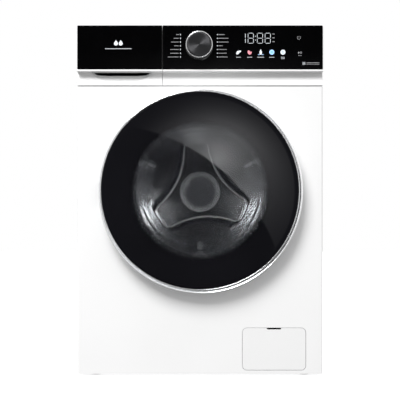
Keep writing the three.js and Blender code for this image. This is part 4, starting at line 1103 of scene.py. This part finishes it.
def drum_hub():
    """The round cover over the drum's shaft: a broad rounded rim that runs into a shallow dish."""
    star = DRUM_HIGH.y - 1.4 - BAY_DEPTH
    section = [(HUB_RADIUS + 3, 0), (HUB_RADIUS + 2, 2.5), (HUB_RADIUS - 0.5, 6.2), (HUB_RADIUS - 4, 8.4), (HUB_RADIUS - 8, 8.8)]
    section += [(HUB_RADIUS - 12, 7.6), (HUB_RADIUS - 16, 5.6), (30, 4.2), (18, 3.6), (6, 3.4)]
    profile = [(radius, star - rise) for radius, rise in curve_through(section, 3)]
    profile += [(0, star - 3.4), (0, star - 0.1)]
    piece("drum_hub_cover", revolve(profile, steps=120), "drum", HUB_METAL_PAINTED_LIGHT, smooth_below=60)


def star_beads():
    """Rounded ribs along the star's three hollow sides, thinning out towards its three points."""
    star = DRUM_HIGH.y - 1.4 - BAY_DEPTH
    ribs = []
    for angle in BAY_ANGLES:
        a = math.radians(angle)
        centre = (BAY_CENTRE * math.cos(a), BAY_CENTRE * math.sin(a))
        reach = 36
        points = []
        for i in range(41):
            t = a + math.pi + math.radians(-reach + 2 * reach * i / 40)
            x = centre[0] + BAY_RADIUS * math.cos(t)
            z = centre[1] + BAY_RADIUS * math.sin(t)
            if math.hypot(x, z) < 158:
                points.append((x, star - 0.3, AXIS_Z + z))
        ribs.append(tube(points, lambda t: 0.6 + 2.1 * math.sin(math.pi * t) ** 0.6, 12, 1))
    # the ribs' near-white colour is a painted highlight along the star's edges
    piece("drum_star_beads", joined(ribs), "drum", RIB_PAINTED_HIGHLIGHT, smooth_below=60)


def drum_wall(bm):
    """The cylinder between front and rear, with staggered rows of round holes, each in a shallow dimple."""
    rows, columns = 20, 168
    start, end = DRUM_LOW.y + 8, DRUM_HIGH.y - 8
    inner = DRUM_RADIUS - 1.2
    pitch = (end - start) / rows

    def spot(column, depth, out=0.0):
        a = 2 * math.pi * column / columns
        radius = inner + out
        return AXIS + Vector((radius * math.cos(a), depth, radius * math.sin(a))) * MM

    lines = [[bm.verts.new(spot(c, start + pitch * r)) for c in range(columns)] for r in range(rows + 1)]
    hole = 1.9
    column_width = 2 * math.pi * inner / columns
    for r in range(rows):
        for c in range(columns):
            d = (c + 1) % columns
            corners = [lines[r][c], lines[r][d], lines[r + 1][d], lines[r + 1][c]]
            if (r + c) % 2:
                bm.faces.new(corners)
                continue
            middle = start + pitch * (r + 0.5)
            ring = []
            for k in range(8):
                a = math.radians(225 + 45 * k)
                ring.append(
                    bm.verts.new(spot(c + 0.5 + hole * math.cos(a) / column_width, middle + hole * math.sin(a), 0.7))
                )
            for k in range(4):
                m = (k + 1) % 4
                first, second, third = ring[2 * k], ring[2 * k + 1], ring[(2 * k + 2) % 8]
                bm.faces.new((corners[k], corners[m], third, second))
                bm.faces.new((corners[k], second, first))
    return lines


def drum():
    bm = drum_back()
    drum_wall(bm)
    front, back = DRUM_LOW.y, DRUM_HIGH.y
    inner = DRUM_RADIUS - 1.2
    revolve([(inner, back - 8), (inner, back - 6), (inner - 1.6, back - 3), (243.5, back - 1.4)], closed=False, steps=168, bm=bm)
    lip = [(inner, front + 8), (inner, front + 6), (inner - 1.6, front + 2.6), (inner - 5, front + 1.2), (DRUM_MOUTH + 6, front + 1.2)]
    lip += arc(DRUM_MOUTH + 3, front + 4.2, 3, -90, -200, 6)
    revolve(lip, closed=False, steps=168, bm=bm)
    item = piece("drum_shell_perforated", bm, "drum", DRUM_STEEL, ["drum_shell"], smooth_below=45)
    sheet = item.modifiers.new("sheet", "SOLIDIFY")
    sheet.thickness = 0.8 * MM
    sheet.offset = 1.0


def paddle(number, angle):
    """A rounded lifter on the drum's wall, tapered at both ends."""
    low, high = 96, 410
    foot = DRUM_RADIUS - 5.6
    height, half = 88, 33
    stations, around = 36, 22
    turn = math.radians(angle)
    out, across = Vector((math.cos(turn), 0, math.sin(turn))), Vector((-math.sin(turn), 0, math.cos(turn)))
    bm = bmesh.new()
    rings = []
    for i in range(stations + 1):
        t = i / stations
        depth = low + (high - low) * t
        front = min(1.0, (depth - low) / 62)
        rear = min(1.0, (high - depth) / 9)
        ramp = math.sin(front * math.pi / 2) ** 0.9 * rear**0.35 if rear > 0 and front > 0 else 0.0
        rise, wide = height * ramp, half * (0.72 + 0.28 * ramp)
        ring = []
        for k in range(around + 1):
            u = -1 + 2 * k / around
            profile = (1 - abs(u) ** 1.7) ** 1.25
            waist = 1 - 0.34 * math.sin(math.pi * min(1.0, profile))
            ring.append(bm.verts.new(AXIS + (across * wide * u * waist + out * (foot - rise * profile) + Vector((0, depth, 0))) * MM))
        rings.append(ring)
    for a, b in zip(rings, rings[1:]):
        for k in range(around):
            bm.faces.new((a[k], a[k + 1], b[k + 1], b[k]))
        bm.faces.new((a[around], a[0], b[0], b[around]))
    bm.faces.new(rings[0])
    bm.faces.new(rings[-1])
    name = f"drum_paddle_{number}"
    piece(f"{name}_lifter", bm, "drum", PADDLE_PLASTIC, [name], smooth_below=60)


def paddles():
    rest = {}
    for number in (1, 2, 3):
        low, high = node_mm(f"drum_paddle_{number}")
        middle = (low + high) / 2
        rest[number] = math.degrees(math.atan2(middle.z - AXIS_Z, middle.x)) % 360
        paddle(number, round(rest[number] / 30) * 30)


# ---------------------------------------------------------------- hatch, pump filter, connections


def filter_hatch():
    bm = prism(rounded_rectangle(*HATCH_SIZE, HATCH_CORNER, (HATCH_X, HATCH_Z), 12), "y", 0, 2)
    top = HATCH_HIGH.z
    notch = [(HATCH_X - 18.6, top + 1), (HATCH_X - 16, top - 3.6), (HATCH_X + 16, top - 3.6), (HATCH_X + 18.6, top + 1)]
    bm = cut(bm, prism(notch, "y", -3, 5))
    outer = rounded_rectangle(HATCH_SIZE[0] - 8, HATCH_SIZE[1] - 18, 7, (HATCH_X, HATCH_Z), 6)
    inner = rounded_rectangle(HATCH_SIZE[0] - 12, HATCH_SIZE[1] - 22, 5, (HATCH_X, HATCH_Z), 6)
    rings = [[bm.verts.new(place(x, depth, z)) for x, z in line] for line, depth in ((outer, 1.9), (outer, 8), (inner, 8), (inner, 1.9))]
    for a, b in zip(rings, [*rings[1:], rings[0]]):
        for i in range(len(a)):
            j = (i + 1) % len(a)
            bm.faces.new((a[i], a[j], b[j], b[i]))
    piece("filter_hatch_cover", bm, "hatch", WHITE_PLASTIC, ["filter_hatch"], edge=0.5, segments=3)


def pump_filter():
    low, high = node_mm("pump_filter")
    centre = Vector(((low.x + high.x) / 2 * MM, FRONT, (low.z + high.z) / 2 * MM))
    front = low.y + 10
    profile = [(0, front), (29, front), (31.4, front + 1), (32, front + 2.4), (32, 38), (29.4, 38), (29.4, 50), (23, 50), (23, high.y), (0, high.y)]
    bm = revolve(profile, centre, 64)
    x, z = centre.x / MM, centre.z / MM
    for turn in range(20):
        a = math.radians(18 * turn)
        bm_ridge = rod((x + 31.6 * math.cos(a), z + 31.6 * math.sin(a)), 1.1, "y", front + 2, 37.6, 8)
        bm.from_mesh(to_mesh("ridge", bm_ridge))
    block((x - 26, x + 26), (low.y, front + 1), (z - 4.5, z + 4.5), bm)
    piece("pump_filter_cap", bm, "filter", DARK_PLASTIC, ["pump_filter"], edge=0.8)


def inlet_union():
    """The threaded union of the inlet valve, on its square body."""
    low, high = node_mm("inlet_valve")
    x, z = -194, 770
    profile = [(0, high.y), (7.6, high.y), (8.6, high.y - 0.6)]
    at = high.y - 0.8
    while at > BACK + 3.5:
        profile += [(9.9, at - 0.5), (9.9, at - 0.8), (9.0, at - 1.3)]
        at -= 1.8
    profile += [(9.2, BACK + 2.6), (14, BACK + 2.4), (14.6, BACK + 1.4), (14.6, BACK + 0.2), (11, BACK - 1), (0, BACK - 1)]
    bm = revolve(profile, Vector((x * MM, FRONT, z * MM)), 48, closed=False)
    block((low.x, high.x), (low.y, BACK - 2), (752, 788), bm)
    block((x - 12, x + 12), (low.y + 9, BACK - 14), (787, high.z), bm)
    piece("inlet_valve_union", bm, "cabinet", WHITE_PLASTIC, ["inlet_valve"], edge=0.5)


def drain_hose():
    """A corrugated hose from the pump to its outlet at the back."""
    low, high = node_mm("drain_hose")
    points = [(193.6, 100, 108.6), (193.6, 100, 124), (203.6, 106, 148), (235, 135, 160), (262, 190, 160)]
    points += [(262, 400, 152), (262, 540, 150), (262, high.y, 150)]

    def corrugated(t):
        return 9.3 + 0.7 * math.cos(2 * math.pi * t * 64)

    piece("drain_hose_corrugated", tube(points, corrugated, 20, 44), "cabinet", GREY_RUBBER, ["drain_hose"], smooth_below=60)


def springs():
    """Suspension springs with hooked ends, between the side panels' lugs and the tub."""
    for side in ("left", "right"):
        low, high = node_mm(f"spring_{side}")
        x, depth = (low.x + high.x) / 2, (low.y + high.y) / 2
        turns, radius, wire = 13, 8.6, 1.7
        coil_low, coil_high = low.z + 22, high.z - 22
        path = [(x, depth, low.z + wire), (x, depth, low.z + 12)]
        for i in range(turns * 12 + 1):
            a = 2 * math.pi * i / 12
            z = coil_low + (coil_high - coil_low) * i / (turns * 12)
            path.append((x + radius * math.sin(a), depth - radius * math.cos(a), z))
        path += [(x, depth, high.z - 12), (x, depth, high.z - wire)]
        ends = (place(x, depth, high.z - 6), place(x, depth, low.z + 6))
        piece(f"spring_{side}_coil", tube(path, wire, 8, 3), ("cabinet", "tub", *ends), STEEL, [f"spring_{side}"], smooth_below=80)


def hoses():
    low, high = node_mm("fill_hose")
    x, depth = (low.x + high.x) / 2, (low.y + high.y) / 2
    count = 120

    def pleated(t):
        return 11.6 + 1.3 * math.cos(2 * math.pi * t * 7)

    path = [(x, depth, high.z + (low.z - high.z) * i / count) for i in range(count + 1)]
    ends = (place(x, depth, high.z - 4), place(x, depth, low.z + 4))
    piece("fill_hose_pleated", tube(path, pleated, 24, 1), ("cabinet", "tub", *ends), GREY_RUBBER, ["fill_hose"], smooth_below=70)
    low, high = node_mm("sump_hose")
    points = [(30, 300, high.z), (30, 300, 130), (48, 255, 96), (80, 160, 72), (116, 95, 62), (high.x, 95, 62)]

    def ribbed(t):
        return 13.8 + 1.1 * math.cos(2 * math.pi * t * 26)

    ends = (place(high.x - 60, 130, 70), place(30, 300, high.z - 10))
    piece("sump_hose_ribbed", tube(points, ribbed, 24, 40), ("cabinet", "tub", *ends), GREY_RUBBER, ["sump_hose"], smooth_below=70)


# ---------------------------------------------------------------- carried-over nodes

KEPT_NODES = {
    "base_tray": GALVANISED,
    "control_board": CIRCUIT_BOARD,
    "dispenser_housing": TRAY_PLASTIC,
    "cable_gland": DARK_PLASTIC,
    "drain_pump": DARK_PLASTIC,
    "door_lock": DARK_PLASTIC,
    "hinge_bracket": STEEL,
    "hinge_pin": STEEL,
    "tub_front": TUB_PLASTIC,
    "tub_rear": TUB_PLASTIC,
    "counterweight_front": COUNTERWEIGHT,
    "counterweight_top": COUNTERWEIGHT,
    "heater_element": STEEL,
    "bearing_front": STEEL,
    "bearing_rear": STEEL,
    "motor_housing": CAST_ALLOY,
    "motor_pulley": STEEL,
    "drive_belt": BLACK_RUBBER,
    "drum_spider": CAST_ALLOY,
    "drum_pulley": CAST_ALLOY,
    "damper_rod_left": STEEL,
    "damper_rod_right": STEEL,
    "damper_tube_left": DARK_PLASTIC,
    "damper_tube_right": DARK_PLASTIC,
    "door_hinge_arm": STEEL,
    "latch_hook": STEEL,
    "drawer_tray": TRAY_PLASTIC,
}


def carried_over():
    for name, material in KEPT_NODES.items():
        node = frame["nodes"][name]
        node.data.materials.clear()
        node.data.materials.append(material)
        bevel = node.modifiers.new("rounded_edges", "BEVEL")
        bevel.width = 0.4 * MM
        bevel.segments = 2
        bevel.limit_method = "ANGLE"
        bevel.angle_limit = math.radians(40)


# ---------------------------------------------------------------- stage


def chain(tree, value, *steps):
    """Passes a value through math nodes, given as (operation, other number)."""
    for operation, other in steps:
        node = tree.nodes.new("ShaderNodeMath")
        node.operation = operation
        node.inputs[1].default_value = other
        tree.links.new(value, node.inputs[0])
        value = node.outputs["Value"]
    return value


def ramp(tree, value, from_min, from_max, to_min, to_max):
    node = tree.nodes.new("ShaderNodeMapRange")
    node.interpolation_type = "SMOOTHSTEP"
    for name, number in (("From Min", from_min), ("From Max", from_max), ("To Min", to_min), ("To Max", to_max)):
        node.inputs[name].default_value = number
    tree.links.new(value, node.inputs["Value"])
    return node.outputs["Result"]


def combine(tree, operation, a, b):
    node = tree.nodes.new("ShaderNodeMath")
    node.operation = operation
    tree.links.new(a, node.inputs[0])
    tree.links.new(b, node.inputs[1])
    return node.outputs["Value"]


def distance_from(tree, coordinates, point):
    node = tree.nodes.new("ShaderNodeVectorMath")
    node.operation = "DISTANCE"
    node.inputs[1].default_value = point
    tree.links.new(coordinates, node.inputs[0])
    return node.outputs["Value"]


def reflection_card(name, outline, bright_spot, reach, peak, tail, middle, near, far, least):
    """A card that only mirrors show, brightest at a spot, with a light that falls to 1/e every reach metres.
    From near to far metres off its middle it dims, down to the least part of its light."""
    bm = bmesh.new()
    bm.faces.new([bm.verts.new(p) for p in outline])
    item = linked(name, to_mesh(name, bm))
    material = bpy.data.materials.new(name)
    material.use_nodes = True
    tree = material.node_tree
    tree.nodes.clear()
    output = tree.nodes.new("ShaderNodeOutputMaterial")
    light = tree.nodes.new("ShaderNodeEmission")
    light.inputs["Color"].default_value = (0.97, 0.98, 1.0, 1)
    tree.links.new(light.outputs["Emission"], output.inputs["Surface"])
    coordinates = tree.nodes.new("ShaderNodeTexCoord").outputs["Object"]
    distance = distance_from(tree, coordinates, bright_spot)
    peaked = chain(tree, distance, ("MULTIPLY", -1 / reach), ("EXPONENT", 0), ("MULTIPLY", peak))
    strength = combine(tree, "ADD", peaked, ramp(tree, distance, 0.3, 1.1, tail, 0))
    fade = ramp(tree, distance_from(tree, coordinates, middle), near, far, 1, least)
    tree.links.new(combine(tree, "MULTIPLY", strength, fade), light.inputs["Strength"])
    item.data.materials.append(material)
    item.visible_camera = False
    item.visible_diffuse = False
    item.visible_shadow = False
    item.visible_transmission = False


CAMERA_DISTANCE = 2.6
CAMERA_HEIGHT = 0.42785
CAMERA_VIEW_WIDTH = 0.9698  # what the frame spans at the front panel's face


def camera():
    data = bpy.data.cameras.new("camera")
    data.sensor_width = 36
    data.lens = data.sensor_width * CAMERA_DISTANCE / CAMERA_VIEW_WIDTH
    item = bpy.data.objects.new("camera", data)
    item.location = (0, FRONT - CAMERA_DISTANCE, CAMERA_HEIGHT)
    item.rotation_euler = (math.pi / 2, 0, 0)
    bpy.context.scene.collection.objects.link(item)
    bpy.context.scene.camera = item


def door_reflection():
    """The bright area that the domed glass mirrors, with the round edge that crosses the door."""
    depth = FRONT - 3.2
    middle = Vector((0, depth, 0.479))  # what the middle of the glass mirrors
    centre, radius = (-0.711, -0.850), 1.3115  # of the round edge, from that middle
    edge = [(x, z) for x, z in arc(*centre, radius, 2, 97, 90)]
    top = 1.21 - middle.z
    outline = [*edge, (edge[-1][0], top), (1.05, top), (1.05, edge[0][1])]
    spot = middle + Vector((0.12, 0, 0.21))
    outline = [middle + Vector((x, 0, z)) for x, z in outline]
    dimmed = middle + Vector((0.1, 0, -0.08))
    reflection_card("door_reflection", outline, spot, 0.155, 7.0, 0.16, dimmed, 0.48, 0.78, 0.1)


def area_light(name, location, target, size, power, shape="RECTANGLE", colour=(1, 1, 1)):
    data = bpy.data.lights.new(name, "AREA")
    data.shape = shape
    data.size, data.size_y = size
    data.energy = power
    data.color = colour
    item = bpy.data.objects.new(name, data)
    item.location = location
    item.rotation_euler = (Vector(target) - Vector(location)).to_track_quat("-Z", "Y").to_euler()
    item.visible_camera = False
    bpy.context.scene.collection.objects.link(item)
    return item


def lights():
    middle = (0, FRONT, 0.45)
    area_light("key", (-2.0, FRONT - 4.4, 5.5), middle, (3.2, 3.4), 520)
    area_light("back_light", (2.0, FRONT + 3.2, 2.4), (0, 0, 0.45), (1.6, 1.6), 45)
    for name, angle, power in (("left", 204, 0.5), ("right", 338, 0.5), ("top", 96, 0.03)):
        a = math.radians(angle)
        spot = place(188 * math.cos(a), 150, AXIS_Z + 188 * math.sin(a))
        area_light(f"drum_lamp_{name}", spot, place(0, 420, AXIS_Z), (0.05, 0.05), power)


def world():
    """White where the camera looks past the object, soft light from above, and a bright room with a dark front
    for mirrors, so that glass seen straight on stays black."""
    surroundings = bpy.data.worlds.new("studio")
    surroundings.use_nodes = True
    bpy.context.scene.world = surroundings
    tree = surroundings.node_tree
    background = tree.nodes["Background"]
    path = tree.nodes.new("ShaderNodeLightPath")
    coordinates = tree.nodes.new("ShaderNodeTexCoord")
    split = tree.nodes.new("ShaderNodeSeparateXYZ")
    tree.links.new(coordinates.outputs["Generated"], split.inputs[0])
    soft = ramp(tree, split.outputs["Z"], -0.7, 0.9, 0.36, 0.77)
    aside = ramp(tree, split.outputs["Y"], -0.972, -0.9, 0.0, 1.1)
    mirrored = combine(tree, "MULTIPLY", aside, ramp(tree, split.outputs["Z"], -0.95, 0.2, 0.1, 1.0))
    diffuse = combine(tree, "MULTIPLY", path.outputs["Is Diffuse Ray"], soft)
    glossy = combine(tree, "MULTIPLY", path.outputs["Is Glossy Ray"], mirrored)
    strength = combine(tree, "ADD", combine(tree, "ADD", diffuse, glossy), path.outputs["Is Camera Ray"])
    tree.links.new(strength, background.inputs["Strength"])
    background.inputs["Color"].default_value = (1, 1, 1, 1)


def floor():
    """A pale floor that also shines a little by itself, so that it runs into the white background."""
    bm = bmesh.new()
    bm.faces.new([bm.verts.new((x, y, 0)) for x, y in ((-6, -6), (6, -6), (6, 6), (-6, 6))])
    item = linked("floor", to_mesh("floor", bm))
    material = finish("floor_white", (0.93, 0.93, 0.93), 0.8, grain=(200, 0.02), specular=0.1)
    shader = material.node_tree.nodes["Principled BSDF"]
    shader.inputs["Emission Color"].default_value = (1, 1, 1, 1)
    shader.inputs["Emission Strength"].default_value = 0.85
    item.data.materials.append(material)
    item.visible_glossy = False
    item.visible_diffuse = False


# ---------------------------------------------------------------- build

bpy.context.scene.view_settings.view_transform = "Standard"

front_panel()
side_panels()
rear_panel()
rear_cover()
transit_plugs()
top_cover()
for code, name in (("fl", "foot_front_left"), ("fr", "foot_front_right"), ("rl", "foot_rear_left"), ("rr", "foot_rear_right")):
    foot(code, name)
control_housing()
drawer_front()
fascias()
display()
programme_marks()
option_icons()
touch_keys()
motor_badge()
drawer_mark()
knob()
door_ring()
door_glass()
door_bowl()
door_inner_frame()
door_gasket()
drum()
drum_hub()
star_beads()
paddles()
filter_hatch()
pump_filter()
inlet_union()
drain_hose()
springs()
hoses()
carried_over()
floor()
lights()
world()
door_reflection()
camera()
